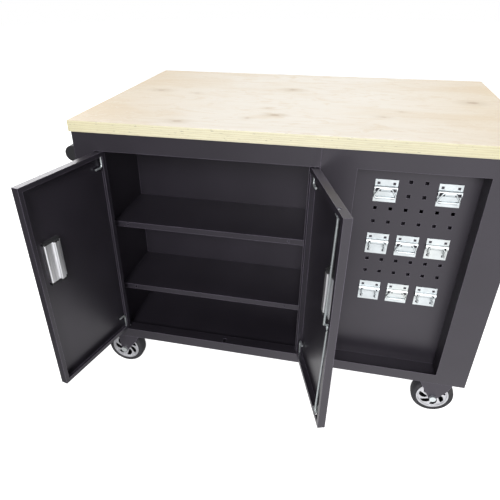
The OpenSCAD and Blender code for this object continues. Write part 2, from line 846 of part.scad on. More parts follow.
// One wire with a hook at each end, held by its bar inside the hump
module double_hook() {
    out = hump_inner - wire_r - 0.1;
    drop = hump_r + hook_bend;
    translate([-peg_pitch / 2, -out, 0]) rotate([0, 90, 0])
        cylinder(h = peg_pitch, r = wire_r, $fn = 24);
    for (x = [-peg_pitch / 2, peg_pitch / 2]) translate([x, -out, 0]) {
        sphere(r = wire_r, $fn = 24);
        translate([0, 0, -drop]) cylinder(h = drop, r = wire_r, $fn = 24);
        translate([0, -hook_bend, -drop]) rotate([0, 90, 0]) rotate([0, 0, -90])
            rotate_extrude(angle = 180) translate([hook_bend, 0]) circle(r = wire_r, $fn = 24);
        translate([0, -2 * hook_bend, -drop]) cylinder(h = hook_tip, r = wire_r, $fn = 24);
        translate([0, -2 * hook_bend, hook_tip - drop]) sphere(r = wire_r, $fn = 24);
    }
}

module wire_hooks() {
    trolley() color(zinc) for (s = HOOK_SEATS) seat(s)
        translate([0, 0, hump_z]) double_hook();
}

// Casters

module caster_spots() {
    for (x = [swivel_x, fixed_x], y = [front_y, rear_y]) translate([x, y, 0]) children();
}

module bolt_spots() {
    for (x = [-1, 1] * bolt_xy[0] / 2, y = [-1, 1] * bolt_xy[1] / 2)
        translate([x, y, 0]) children();
}

module caster_plate() {
    difference() {
        translate([-plate_xy[0] / 2, -plate_xy[1] / 2, base_z - fork_t])
            cube([plate_xy[0], plate_xy[1], fork_t]);
        bolt_spots() translate([0, 0, base_z - fork_t - over])
            cylinder(h = fork_t + 2 * over, r = bolt_r + play);
    }
}

// Ball race and kingpin of a swivel caster
module swivel_race() {
    translate([0, 0, base_z - fork_t - race_h]) cylinder(h = race_h, r = race_r);
    translate([0, 0, fork_top - fork_t - clear - king_head[1]])
        cylinder(h = race_h + fork_t + king_head[1] + 1, r = king_r);
    translate([0, 0, fork_top - fork_t - clear - king_head[1]])
        cylinder(h = king_head[1], r = king_head[0]);
}

module caster_plates() {
    trolley() color(zinc) {
        for (y = [front_y, rear_y]) {
            translate([swivel_x, y, 0]) { caster_plate(); swivel_race(); }
            translate([fixed_x, y, 0]) caster_plate();
        }
    }
}

// Two equal legs beside the wheel, from a flat shape in [x, z] with the axle's hole
module legs(x) {
    for (y = [-fork_gap / 2 - fork_t, fork_gap / 2]) slab_y(y, y + fork_t) difference() {
        union() {
            children();
            translate([x, axle_z]) circle(r = leg_end_r);
        }
        translate([x, axle_z]) circle(r = axle_r + play);
    }
}

module fixed_fork() {
    z = base_z - fork_t;
    h = z - axle_z;
    w = plate_xy[0] / 2 - 1.5;
    legs(0) polygon([[-w, z], [w, z], [w - 1, z - 0.38 * h], [0.78 * w, z - 0.65 * h],
        [leg_end_r - 0.5, axle_z - 3], [0.5 - leg_end_r, axle_z - 3],
        [-0.65 * w, z - 0.67 * h], [1 - w, z - 0.38 * h]]);
    block([-w, -fork_gap / 2 - fork_t, z - fork_t], [w, fork_gap / 2 + fork_t, z]);
}

module fixed_forks() {
    trolley() color(steel) for (y = [front_y, rear_y]) translate([fixed_x, y, 0]) fixed_fork();
}

module swivel_fork() {
    z = fork_top;
    h = z - axle_z;
    front = race_r + 2;
    legs(-trail) polygon([[-trail - 3, z], [front, z], [0.86 * front, z - 0.3 * h],
        [0.43 * front, z - 0.55 * h], [leg_end_r - trail - 0.5, axle_z - 3],
        [0.5 - leg_end_r - trail, axle_z - 3], [pedal_pivot[0] - 8, z - 0.42 * h],
        [pedal_pivot[0] - 8, z - 0.18 * h]]);
    difference() {
        block([-trail - 3, -fork_gap / 2 - fork_t, z - fork_t],
            [front, fork_gap / 2 + fork_t, z]);
        translate([0, 0, z - fork_t - over]) cylinder(h = fork_t + 2 * over, r = king_r + play);
    }
    // Pin that the brake pedal turns on
    rod_y(pedal_pivot[0], pedal_pivot[1], -fork_gap / 2, fork_gap / 2, 2.5);
}

module swivel_fork_front() {
    trolley() color(steel) translate([swivel_x, front_y, 0]) swivel_fork();
}

module swivel_fork_rear() {
    trolley() color(steel) translate([swivel_x, rear_y, 0]) swivel_fork();
}

// Axle bolt through both legs, with its head in front and its nut behind
module axle_bolt(x) {
    outer = fork_gap / 2 + fork_t;
    rod_y(x, axle_z, -outer, outer, axle_r);
    rod_y(x, axle_z, -outer - nut_t, -outer, nut_r);
    translate([x, outer, axle_z]) rotate([-90, 0, 0]) hex(2 * nut_r - 2, nut_t - 2);
}

module fixed_axles() {
    trolley() color(zinc) for (y = [front_y, rear_y]) translate([fixed_x, y, 0]) axle_bolt(0);
}

module swivel_axle_front() {
    trolley() color(zinc) translate([swivel_x, front_y, 0]) axle_bolt(-trail);
}

module swivel_axle_rear() {
    trolley() color(zinc) translate([swivel_x, rear_y, 0]) axle_bolt(-trail);
}

// Brake pedal: a tube on the pin, a bent tread over the wheel
module brake_pedal() {
    x = pedal_pivot[0];
    z = pedal_pivot[1];
    inner = fork_gap / 2 - 1;
    difference() {
        union() {
            rod_y(x, z, -inner, inner, 4.5);
            slab_y(-inner, inner) polygon([[x, z + 4.5], [x - 14, z + 4.5],
                [x - 14, z + 1.5], [x, z + 1.5]]);
            slab_y(-fork_gap / 2 - 4, fork_gap / 2 + 4) polygon([[x - 13, z + 4.5],
                [20 - pedal_reach, z - 2], [-pedal_reach, z - 14], [-pedal_reach, z - 18],
                [18 - pedal_reach, z - 6], [x - 13, z + 1.5]]);
        }
        rod_y(x, z, -inner - over, inner + over, 2.5 + play);
    }
}

module brake_pedal_front() {
    trolley() color(plastic) translate([swivel_x, front_y, 0]) brake_pedal();
}

module brake_pedal_rear() {
    trolley() color(plastic) translate([swivel_x, rear_y, 0]) brake_pedal();
}

// Wheels, drawn round the Y axis at the origin
module wheel_at(x, y) {
    trolley() translate([x, y, axle_z]) rotate([-90, 0, 0]) children();
}

module tyre() {
    r = wheel_d / 2;
    w = wheel_w / 2;
    color(rubber) rotate_extrude($fn = 96) polygon([[rim_d / 2, -w], [r - 7, -w], [r - 2, 3 - w],
        [r, 9 - w], [r, w - 9], [r - 2, w - 3], [r - 7, w], [rim_d / 2, w]]);
}

// One curved window of the rim: narrow near the hub, wide near the edge
function window_mid(i, n) = let (f = i / n) [15.5 + f * (rim_d / 2 - 24), 32 * f];
function window_half(i, n) = 2.8 + 6 * sin(150 * i / n);
module rim_window() {
    n = 8;
    side = function (sgn) [for (i = [0 : n]) let (m = window_mid(i, n), d = sgn * window_half(i, n))
        [m[0] * cos(m[1]) - d * sin(m[1]), m[0] * sin(m[1]) + d * cos(m[1])]];
    back = side(1);
    polygon(concat(side(-1), [for (i = [n : -1 : 0]) back[i]]));
}

module rim() {
    r = rim_d / 2;
    w = wheel_w / 2;
    hub_w = fork_gap / 2 - 0.5;
    color(zinc) difference() {
        rotate_extrude($fn = 96) polygon([[axle_r + play, -hub_w], [12, -hub_w], [14, 4 - w],
            [r - 6, 4 - w], [r - 4, 0.5 - w], [r, 0.5 - w], [r, w - 0.5], [r - 4, w - 0.5],
            [r - 6, w - 4], [14, w - 4], [12, hub_w], [axle_r + play, hub_w]]);
        for (a = [0 : 6]) rotate([0, 0, a * 360 / 7]) translate([0, 0, -w])
            linear_extrude(2 * w) rim_window();
    }
}

module tyre_left_front() { wheel_at(swivel_x - trail, front_y) tyre(); }

module tyre_left_rear() { wheel_at(swivel_x - trail, rear_y) tyre(); }

module tyre_right_front() { wheel_at(fixed_x, front_y) tyre(); }

module tyre_right_rear() { wheel_at(fixed_x, rear_y) tyre(); }

module rim_left_front() { wheel_at(swivel_x - trail, front_y) rim(); }

module rim_left_rear() { wheel_at(swivel_x - trail, rear_y) rim(); }

module rim_right_front() { wheel_at(fixed_x, front_y) rim(); }

module rim_right_rear() { wheel_at(fixed_x, rear_y) rim(); }

// Caster bolts with nuts, and the small screws round the doors
module fasteners() {
    head = 5.5;
    trolley() color(zinc) {
        caster_spots() bolt_spots() {
            translate([0, 0, base_z - fork_t - head]) hex(2 * bolt_r + 5, head);
            translate([0, 0, base_z - fork_t])
                cylinder(h = fork_t + base_t + 7, r = bolt_r);
            translate([0, 0, base_z + base_t]) hex(2 * bolt_r + 5, 5);
        }
        for (x = [opening_left + liner_step / 2, liner_right + 4])
            rod_y(x, opening_high - 24, return_d - sheet - screw_h, return_d - sheet, screw_r);
        for (x = [opening_left + 20, opening_right - 20])
            translate([x, return_d - 5.5, opening_low]) cylinder(h = screw_h, r = screw_r);
    }
}

// Push handle on the left side

tube_stop = 5;
handle_z = cabinet_h - handle_drop;
handle_x = tube_r + bracket_wall - handle_reach;

module handle_bracket(y) {
    r = bracket_h / 2;
    z = base_z + handle_z;
    difference() {
        slab_y(y, y + bracket_t) {
            translate([r - handle_reach, z]) circle(r = r);
            translate([r - handle_reach, z - r]) square([handle_reach - r, bracket_h]);
        }
        rod_y(handle_x, z, y + tube_stop, y + bracket_t + over, tube_r + play);
    }
}

module handle_brackets() {
    trolley() color(plastic) {
        handle_bracket(bracket_in);
        translate([0, cabinet_d, 0]) mirror([0, 1, 0]) handle_bracket(bracket_in);
    }
}

module push_handle() {
    a = bracket_in + tube_stop;
    trolley() color(steel) difference() {
        rod_y(handle_x, base_z + handle_z, a, cabinet_d - a, tube_r);
        rod_y(handle_x, base_z + handle_z, a - over, cabinet_d - a + over, tube_r - tube_wall);
    }
}

// Drawers behind the cupboard and the tool bay, pulled out to the back

// Height of the lower edge of a drawer's front, counted from the top
function front_low(i) = bank_high - (i == 0 ? front_gap + drawer_top_h
    : i == 1 ? 2 * front_gap + drawer_top_h + drawer_mid_h
    : 3 * front_gap + drawer_top_h + drawer_mid_h + drawer_low_h);
function front_high(i) = front_low(i) + (i == 0 ? drawer_top_h : i == 1 ? drawer_mid_h
    : drawer_low_h);
function slide_z(i) = front_low(i) + 30;

// Fixed channels of the slides, open towards the drawers
module slide_channels() {
    trolley() color(zinc)
        for (bank = [wide_bank, narrow_bank], i = [0 : 2], side = [0, 1])
            translate([side == 0 ? bank[0] : bank[1], 0, slide_z(i)]) mirror([side, 0, 0])
                difference() {
                    block([0, bank[2] + 5, 0],
                        [slide_w - sheet, cabinet_d - front_t - 5, slide_h]);
                    block([sheet, bank[2], sheet],
                        [slide_w + over, cabinet_d - front_t, slide_h - sheet]);
                }
}

// Drawer: open box, folded front, full-width pull and its moving slide rails
module drawer(bank, i) {
    x0 = bank[0] + slide_w;
    x1 = bank[1] - slide_w;
    z0 = front_low(i) + 6;
    z1 = front_high(i) - side_drop;
    y0 = bank[2] + 8;
    face = cabinet_d;
    difference() {
        block([x0, y0, z0], [x1, face - front_t, z1]);
        block([x0 + sheet, y0 + sheet, z0 + sheet], [x1 - sheet, face - front_t - sheet, z1 + over]);
    }
    // Folded front, open towards the box
    difference() {
        block([bank[0] + front_gap, face - front_t, front_low(i)],
            [bank[1] - front_gap, face, front_high(i)]);
        block([bank[0] + front_gap + sheet, face - front_t - over, front_low(i) + sheet],
            [bank[1] - front_gap - sheet, face - sheet, front_high(i) - sheet]);
    }
    // Full-width pull, hollow under its lip
    difference() {
        block([bank[0] + front_gap, face, front_high(i) - grip_h],
            [bank[1] - front_gap, face + grip_reach, front_high(i)]);
        block([bank[0], face + sheet, front_high(i) - grip_h - over],
            [bank[1], face + grip_reach - sheet, front_high(i) - sheet]);
    }
    // Moving rails inside the fixed channels
    for (side = [0, 1]) translate([side == 0 ? x0 : x1, 0, slide_z(i)]) mirror([1 - side, 0, 0])
        difference() {
            block([0, y0, sheet + slide_play],
                [slide_w - sheet - slide_play, face - front_t, slide_h - sheet - slide_play]);
            block([sheet, y0 - over, 2 * sheet + slide_play],
                [slide_w, face - front_t + over, slide_h - 2 * sheet - slide_play]);
        }
}

module drawer_wide_top() { trolley() color(steel) drawer(wide_bank, 0); }

module drawer_wide_middle() { trolley() color(steel) drawer(wide_bank, 1); }

module drawer_wide_low() { trolley() color(steel) drawer(wide_bank, 2); }

module drawer_narrow_top() { trolley() color(steel) drawer(narrow_bank, 0); }

module drawer_narrow_middle() { trolley() color(steel) drawer(narrow_bank, 1); }

module drawer_narrow_low() { trolley() color(steel) drawer(narrow_bank, 2); }

worktop();
top_braces();
left_side();
right_side();
base_frame();
cabinet_floor();
cupboard_frame();
bay_frame();
divider();
cupboard_liner();
peg_panel();
rear_frame();
drawer_walls();
shelf_upper();
shelf_lower();
shelf_pins();
slide_channels();
holder_plates();
wire_hooks();
handle_brackets();
push_handle();
caster_plates();
fixed_forks();
fixed_axles();
fasteners();
door_left();
door_right();
pull_left();
pull_right();
pins_left();
pins_right();
lock_barrel();
lock_cam();
rod_upper();
rod_lower();
rod_guides();
ring_top_left();
ring_top_right();
ring_middle();
ring_bottom();
swivel_fork_front();
swivel_fork_rear();
swivel_axle_front();
swivel_axle_rear();
brake_pedal_front();
brake_pedal_rear();
tyre_left_front();
tyre_left_rear();
tyre_right_front();
tyre_right_rear();
rim_left_front();
rim_left_rear();
rim_right_front();
rim_right_rear();
drawer_wide_top();
drawer_wide_middle();
drawer_wide_low();
drawer_narrow_top();
drawer_narrow_middle();
drawer_narrow_low();
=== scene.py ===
"""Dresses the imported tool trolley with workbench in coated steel, plywood, zinc and rubber."""

import json
import math

import bpy
from bpy.props import FloatProperty, FloatVectorProperty, IntProperty, PointerProperty
from mathutils import Matrix, Vector


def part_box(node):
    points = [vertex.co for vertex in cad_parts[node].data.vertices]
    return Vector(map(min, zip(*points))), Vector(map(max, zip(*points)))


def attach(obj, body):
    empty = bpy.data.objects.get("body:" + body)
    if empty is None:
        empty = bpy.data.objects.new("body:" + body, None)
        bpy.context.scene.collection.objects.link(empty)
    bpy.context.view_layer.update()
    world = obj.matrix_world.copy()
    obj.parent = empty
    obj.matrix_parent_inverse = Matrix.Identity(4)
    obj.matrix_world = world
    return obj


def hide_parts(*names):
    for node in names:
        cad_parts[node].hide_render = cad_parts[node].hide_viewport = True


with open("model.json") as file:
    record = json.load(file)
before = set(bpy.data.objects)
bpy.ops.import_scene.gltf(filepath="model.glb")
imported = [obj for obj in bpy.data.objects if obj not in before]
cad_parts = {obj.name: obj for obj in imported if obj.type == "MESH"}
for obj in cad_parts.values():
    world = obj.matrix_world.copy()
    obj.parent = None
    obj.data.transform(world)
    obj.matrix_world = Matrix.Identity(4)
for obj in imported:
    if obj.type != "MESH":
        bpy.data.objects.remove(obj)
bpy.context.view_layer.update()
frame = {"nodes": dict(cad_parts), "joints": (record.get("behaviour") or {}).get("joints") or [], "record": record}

bl_info = {
    "name": "Tool trolley with workbench",
    "version": (1, 0, 0),
    "blender": (4, 5, 0),
    "location": "3D View > Sidebar > Trolley",
    "description": "Finishes the pieces of a steel tool trolley and sets its studio",
    "category": "Object",
}

MM = 0.001


# Sizes and colours that a user would change


class TrolleyEdges(bpy.types.PropertyGroup):
    """Radii of the rounded edges."""

    sheet: FloatProperty(
        name="Sheet edge", description="Radius on the folds of the cabinet and doors",
        default=0.9 * MM, min=0.2 * MM, max=2 * MM, precision=4, unit="LENGTH")
    wood: FloatProperty(
        name="Worktop edge", description="Radius on the edges of the worktop",
        default=2.2 * MM, min=0.5 * MM, max=6 * MM, precision=4, unit="LENGTH")
    plate: FloatProperty(
        name="Plate edge", description="Radius on holder plates, pulls and bolts",
        default=0.35 * MM, min=0.1 * MM, max=1 * MM, precision=5, unit="LENGTH")
    plastic: FloatProperty(
        name="Plastic edge", description="Radius on the handle brackets",
        default=3 * MM, min=0.5 * MM, max=5 * MM, precision=4, unit="LENGTH")
    segments: IntProperty(
        name="Segments", description="Faces across one rounded edge", default=2, min=1, max=4)


class TrolleyColours(bpy.types.PropertyGroup):
    """Base colours of the finishes."""

    coat: FloatVectorProperty(
        name="Coat", description="Powder coat of the cabinet", subtype="COLOR",
        default=(0.0205, 0.0179, 0.0240), min=0, max=1)
    coat_gloss: FloatVectorProperty(
        name="Coat gloss", description="Tint of the coat's reflections", subtype="COLOR",
        default=(0.96, 0.92, 1.0), min=0, max=1)
    wood: FloatVectorProperty(
        name="Birch", description="Lightest colour of the worktop", subtype="COLOR",
        default=(0.925, 0.870, 0.780), min=0, max=1)
    wood_warm: FloatVectorProperty(
        name="Warm birch", description="Warm streaks of the worktop", subtype="COLOR",
        default=(0.80, 0.665, 0.485), min=0, max=1)
    wood_edge: FloatVectorProperty(
        name="Birch edge", description="Plies on the worktop's edges", subtype="COLOR",
        default=(0.93, 0.885, 0.655), min=0, max=1)
    zinc: FloatVectorProperty(
        name="Zinc", description="Plating of holders and bolts", subtype="COLOR",
        default=(0.73, 0.775, 0.795), min=0, max=1)
    aluminium: FloatVectorProperty(
        name="Aluminium", description="Extruded door pulls", subtype="COLOR",
        default=(0.86, 0.86, 0.90), min=0, max=1)
    rim: FloatVectorProperty(
        name="Rim", description="Wheel rims", subtype="COLOR",
        default=(0.60, 0.60, 0.63), min=0, max=1)
    rubber: FloatVectorProperty(
        name="Rubber", description="Tyres", subtype="COLOR",
        default=(0.036, 0.035, 0.040), min=0, max=1)
    plastic: FloatVectorProperty(
        name="Plastic", description="Handle brackets and brake pedals", subtype="COLOR",
        default=(0.018, 0.018, 0.02), min=0, max=1)


class TrolleyLight(bpy.types.PropertyGroup):
    """Lamps of the studio."""

    key: FloatProperty(
        name="Key", description="Soft lamp in front", default=260, min=0, unit="POWER")
    fill: FloatProperty(
        name="Fill", description="Soft lamp at the left", default=3, min=0, unit="POWER")
    top: FloatProperty(
        name="Top", description="Soft lamp over the worktop", default=27, min=0, unit="POWER")
    back: FloatProperty(
        name="Back", description="Soft lamp at each rear corner", default=45, min=0, unit="POWER")
    world: FloatProperty(
        name="Surroundings", description="Strength of the light from all sides",
        default=0.14, min=0, max=2)


class TrolleySettings(bpy.types.PropertyGroup):
    """All settings of the trolley."""

    edges: PointerProperty(type=TrolleyEdges)
    colours: PointerProperty(type=TrolleyColours)
    light: PointerProperty(type=TrolleyLight)


# Shader maths on sockets


class Wire:
    """A socket's value, so that shader maths is written as Python."""

    def __init__(self, nodes, socket):
        self.nodes = nodes
        self.socket = socket

    def maths(self, operation, *values):
        return self.nodes.node(
            "ShaderNodeMath", {"operation": operation}, dict(enumerate(values)))

    def __add__(self, other):
        return self.maths("ADD", self, other)

    __radd__ = __add__

    def __mul__(self, other):
        return self.maths("MULTIPLY", self, other)

    __rmul__ = __mul__

    def __sub__(self, other):
        return self.maths("SUBTRACT", self, other)

    def __rsub__(self, other):
        return self.maths("SUBTRACT", other, self)

    def __truediv__(self, other):
        return self.maths("DIVIDE", self, other)

    def __pow__(self, other):
        return self.maths("POWER", self, other)

    def __gt__(self, other):
        return self.maths("GREATER_THAN", self, other)

    def __lt__(self, other):
        return self.maths("LESS_THAN", self, other)

    def __abs__(self):
        return self.maths("ABSOLUTE", self)

    def fraction(self):
        return self.maths("FRACT", self)

    def larger(self, other):
        return self.maths("MAXIMUM", self, other)

    def ramp(self, low, high):
        """0 below low, 1 above high, and smooth between them. low may be over high."""
        return self.nodes.node(
            "ShaderNodeMapRange", {"interpolation_type": "SMOOTHSTEP"},
            {"Value": self, "From Min": low, "From Max": high})


class Nodes:
    """The nodes of one material or world."""

    def __init__(self, owner):
        owner.use_nodes = True
        self.tree = owner.node_tree
        self.tree.nodes.clear()

    def put(self, socket, value):
        """Gives a socket its value or its link."""
        if isinstance(value, Wire):
            self.tree.links.new(value.socket, socket)
        elif socket.type == "RGBA":
            socket.default_value = (*value, 1)
        else:
            socket.default_value = value

    def node(self, kind, settings=None, sockets=None, output=0):
        """A new node with its settings first and then its sockets.

        What comes back is one output as a Wire, or a list of all of them when output is None.
        """
        made = self.tree.nodes.new(kind)
        for key, value in (settings or {}).items():
            setattr(made, key, value)
        for key, value in (sockets or {}).items():
            self.put(made.inputs[key], value)
        if output is None:
            return [Wire(self, out) for out in made.outputs]
        return Wire(self, made.outputs[output])

    def ray(self, kind):
        """1 where a ray of the kind meets the surface or the world, else 0."""
        return self.node("ShaderNodeLightPath", output=f"Is {kind} Ray")


class Finish(Nodes):
    """One material with its main shader."""

    def __init__(self, name, **sockets):
        self.material = bpy.data.materials.new(name)
        super().__init__(self.material)
        self.shader = self.tree.nodes.new("ShaderNodeBsdfPrincipled")
        self.output = self.tree.nodes.new("ShaderNodeOutputMaterial")
        self.show(Wire(self, self.shader.outputs[0]))
        for key, value in sockets.items():
            self.set(key.replace("_", " "), value)

    def show(self, shader):
        self.put(self.output.inputs["Surface"], shader)

    def set(self, name, value):
        """Gives a socket of the main shader its value or its link."""
        self.put(self.shader.inputs[name], value)

    def place(self, scale=(1, 1, 1)):
        """Object coordinates, stretched by scale."""
        spot = self.node("ShaderNodeTexCoord", output="Object")
        return self.node("ShaderNodeMapping", None, {"Vector": spot, "Scale": scale})

    def axes(self, vector):
        """The three parts of a vector."""
        return self.node("ShaderNodeSeparateXYZ", None, {0: vector}, output=None)

    def facing(self):
        """The three parts of the surface's direction."""
        return self.axes(self.node("ShaderNodeTexCoord", output="Normal"))

    def fold_highlight(self, radius):
        """Mask for the painted highlight: 1 along the edges and folds of a piece and 0 on its flat faces."""
        # Near an edge the rounded direction leans away from the true one
        near = self.node("ShaderNodeBevel", {"samples": 4}, {"Radius": radius})
        here = self.node("ShaderNodeNewGeometry", output="Normal")
        turn = self.node("ShaderNodeVectorMath", {"operation": "DOT_PRODUCT"},
                         {0: near, 1: here}, output="Value")
        return turn.ramp(0.97, 0.84)

    def noise(self, where, scale, detail=3.0, rough=0.5, distortion=0.0):
        return self.node(
            "ShaderNodeTexNoise", None,
            {"Vector": where, "Scale": scale, "Detail": detail, "Roughness": rough,
             "Distortion": distortion})

    def mix(self, share, first, second):
        """The first colour where share is 0 and the second where it is 1."""
        return self.node("ShaderNodeMix", {"data_type": "RGBA"},
                         {0: share, 6: first, 7: second}, output=2)

    def bump(self, height, distance, strength):
        """Raises the surface by height, where 1 is distance in metres."""
        self.set("Normal", self.node(
            "ShaderNodeBump", None,
            {"Strength": strength, "Distance": distance, "Height": height}))


def shade(colour, factor):
    """A lighter or darker colour, up to white."""
    return tuple(min(1.0, c * factor) for c in colour)


# Width of the painted highlight along the folds of coated sheet
FOLD_HIGHLIGHT_WIDTH = 2.6 * MM


def powder_coat(name, colour, level=0.72):
    """Satin powder coat with a fine orange peel. level is the strength of its gloss."""
    gloss = tuple(bpy.context.scene.trolley.colours.coat_gloss)
    finish = Finish(name, Specular_IOR_Level=level, Specular_Tint=gloss)
    where = finish.place()
    cloud = finish.noise(where, 5, 2)
    grain = finish.noise(where, 420, 2, 0.6)
    speck = finish.noise(where, 1100, 1)
    tone = finish.mix(cloud.ramp(0.3, 0.7), shade(colour, 0.88), shade(colour, 1.12))
    tone = finish.mix(speck.ramp(0.56, 0.72) * 0.3, tone, shade(colour, 2.0))
    # Painted highlight: the folds are lightened in the base colour, standing in for the sheen a rounded fold
    # catches
    fold_highlight = finish.fold_highlight(FOLD_HIGHLIGHT_WIDTH) * (0.5 + 0.5 * finish.noise(where, 9, 3).ramp(0.35, 0.6))
    finish.set("Base Color", finish.mix(fold_highlight * 0.9, tone, shade(colour, 9.0)))
    finish.set("Roughness", 0.29 + 0.08 * finish.noise(where, 14, 3) + 0.05 * grain)
    finish.bump(grain + 0.5 * finish.noise(where, 160, 1), 0.08 * MM, 0.5)
    return finish.material


# Knots of the worktop's face: place, half length and half width in metres, and depth of colour
KNOTS = (
    (-0.028, -0.081, 0.016, 0.009, 1.0), (-0.020, 0.237, 0.019, 0.014, 0.8),
    (-0.094, -0.125, 0.009, 0.007, 0.55), (-0.435, 0.154, 0.020, 0.012, 0.65),
    (-0.308, 0.134, 0.013, 0.008, 0.45), (-0.265, -0.191, 0.018, 0.010, 0.7),
    (0.503, 0.165, 0.020, 0.016, 0.85), (0.249, -0.044, 0.012, 0.007, 0.5),
    (-0.060, -0.010, 0.010, 0.007, 0.45), (0.300, 0.020, 0.009, 0.006, 0.4),
)
# Underside of the worktop, and the thickness of one of its plies
UNDERSIDE = 0.84
PLY = 2.6 * MM


def veneer(finish, light, warm, end):
    """The birch face with its grain along X: its colour, its streaks and its relief."""
    heart = (0.40, 0.25, 0.15)
    where = finish.place()
    east, north, _ = finish.axes(where)
    waver = finish.noise(finish.place((1.0, 2.2, 1)), 3.0, 3, 0.5, 0.6)
    streak = finish.noise(finish.place((2.2, 40, 20)), 2.4, 4, 0.6, 0.35)
    fine = finish.noise(finish.place((9, 330, 60)), 2.0, 3, 0.7)
    pore = finish.noise(finish.place((30, 620, 60)), 2.2, 2, 0.6)
    flame = finish.noise(finish.place((3.6, 8.5, 1)), 2.0, 4, 0.6, 2.6)
    ripple = finish.noise(finish.place((26, 60, 1)), 2.0, 3, 0.6, 1.4)
    ragged = finish.noise(where, 46, 3, 0.6)
    face = finish.mix(waver.ramp(0.42, 0.68) * 0.34 + end * 0.72, light, warm)
    face = finish.mix(flame.ramp(0.50, 0.66) * 0.42, face, shade(warm, 0.96))
    face = finish.mix(ripple.ramp(0.50, 0.64) * flame.ramp(0.42, 0.60) * 0.45, face,
                      shade(light, 1.03))
    face = finish.mix(streak.ramp(0.46, 0.70) * 0.16, face, shade(warm, 0.86))
    face = finish.mix(fine.ramp(0.52, 0.80) * 0.14, face, shade(warm, 0.72))
    face = finish.mix(pore.ramp(0.64, 0.74) * 0.20, face, shade(warm, 0.50))
    core = 0
    for x, y, long, wide, depth in KNOTS:
        along = (east - x) / long
        across = (north - y) / wide
        far = (along * along + across * across) ** 0.5 + (ragged - 0.5) * 1.5
        core = core + far.ramp(1.0, 0.15) * depth
        face = finish.mix(far.ramp(3.4, 0.3) * (0.65 * depth), face, shade(warm, 0.80))
    face = finish.mix(core * 0.58, face, heart)
    return face, streak, fine * 0.5 + pore.ramp(0.6, 0.75) * -0.6 + core * -0.5


def ply_edges(finish, plies, end):
    """The stacked plies on the edges: their colour and the grooves between them."""
    aged, across_grain = (0.76, 0.69, 0.40), (0.66, 0.54, 0.30)
    glue, hollow = (0.40, 0.32, 0.15), (0.10, 0.07, 0.04)
    height = finish.axes(finish.place())[2]
    # The plies bow a little, and every second one lies across the grain
    bowed = height + 1.2 * MM * (finish.noise(finish.place((3, 3, 1)), 2.0, 2) - 0.5)
    ply = (bowed - UNDERSIDE) / PLY
    cross = (ply * 0.5).fraction() > 0.5
    line = abs(ply.fraction() - 0.5).ramp(0.34, 0.48)
    dots = finish.noise(finish.place((170, 170, 900)), 2.4, 2, 0.6)
    dashes = finish.noise(finish.place((14, 14, 700)), 2.0, 3, 0.6)
    edge = finish.mix(dashes.ramp(0.42, 0.62) * 0.5, plies, shade(plies, 0.84))
    edge = finish.mix(end * 0.45, edge, aged)
    edge = finish.mix(cross * (0.16 + 0.20 * dots.ramp(0.4, 0.7)), edge, across_grain)
    # Every third glue line is a strong one
    strong = 0.25 + 0.75 * ((ply / 3).fraction() < 0.34)
    edge = finish.mix(line * strong * dashes.ramp(0.30, 0.58) * 0.75, edge, glue)
    void = finish.noise(finish.place((30, 30, 420)), 2.2, 1, 0.5).ramp(0.70, 0.73)
    edge = finish.mix(void * cross * 0.85, edge, hollow)
    return edge, line + void


def birch_plywood(name, light, warm, plies):
    """Birch plywood: veneer on its faces and the plies on its edges."""
    finish = Finish(name, Specular_IOR_Level=0.3)
    # The wood is warmer towards both ends of the top
    end = abs(finish.axes(finish.place())[0] - 0.02).ramp(0.16, 0.64)
    face, streak, relief = veneer(finish, light, warm, end)
    edge, grooves = ply_edges(finish, plies, end)
    upright = abs(finish.facing()[2]).ramp(0.75, 0.45)
    finish.set("Base Color", finish.mix(upright, face, edge))
    finish.set("Roughness", 0.44 + 0.14 * streak + 0.12 * upright)
    finish.bump(relief * (1 - upright) - grooves * upright, 0.12 * MM, 0.6)
    return finish.material


def zinc_plate(name, colour, rough=0.38):
    """Bright zinc with faint clouds from the bath."""
    yellowed = (0.78, 0.76, 0.66)
    finish = Finish(name, Metallic=1.0)
    where = finish.place()
    cloud = finish.noise(where, 34, 4, 0.6)
    fine = finish.noise(where, 620, 2, 0.6)
    tint = finish.mix(cloud.ramp(0.35, 0.65), shade(colour, 0.88), colour)
    finish.set("Base Color", finish.mix(
        finish.noise(where, 9, 2).ramp(0.5, 0.75) * 0.25, tint, yellowed))
    finish.set("Roughness", rough + 0.16 * cloud + 0.05 * fine)
    finish.bump(fine + cloud, 0.03 * MM, 0.4)
    return finish.material


def brushed(name, colour, stretch):
    """Drawn aluminium, with lines along the axis on which stretch is smallest."""
    finish = Finish(name, Metallic=1.0)
    lines = finish.noise(finish.place(stretch), 2.0, 4, 0.65)
    broad = finish.noise(finish.place(tuple(s * 0.2 for s in stretch)), 2.0, 2)
    finish.set("Base Color", finish.mix(
        lines.ramp(0.3, 0.7), shade(colour, 0.80), shade(colour, 1.15)))
    finish.set("Roughness", 0.30 + 0.14 * lines + 0.06 * broad)
    finish.bump(lines, 0.04 * MM, 0.5)
    return finish.material


def cast_rim(name, colour):
    """Silver paint on the faces of a cast rim, and painted shade on the walls of its windows."""
    window_shade = (0.012, 0.012, 0.013)
    finish = Finish(name, Metallic=0.6, Coat_Weight=0.2)
    where = finish.place()
    flake = finish.noise(where, 1500, 1, 0.5)
    cloud = finish.noise(where, 60, 3)
    silver = finish.mix(cloud.ramp(0.3, 0.7), shade(colour, 0.90), shade(colour, 1.10))
    # Painted shade: the walls that face across the axle, inside the windows, are darkened in the base colour
    inward = abs(finish.facing()[1]).ramp(0.42, 0.16)
    finish.set("Base Color", finish.mix(inward, silver, window_shade))
    finish.set("Roughness", 0.30 + 0.12 * flake + 0.06 * cloud)
    finish.bump(finish.noise(where, 320, 2), 0.05 * MM, 0.4)
    return finish.material


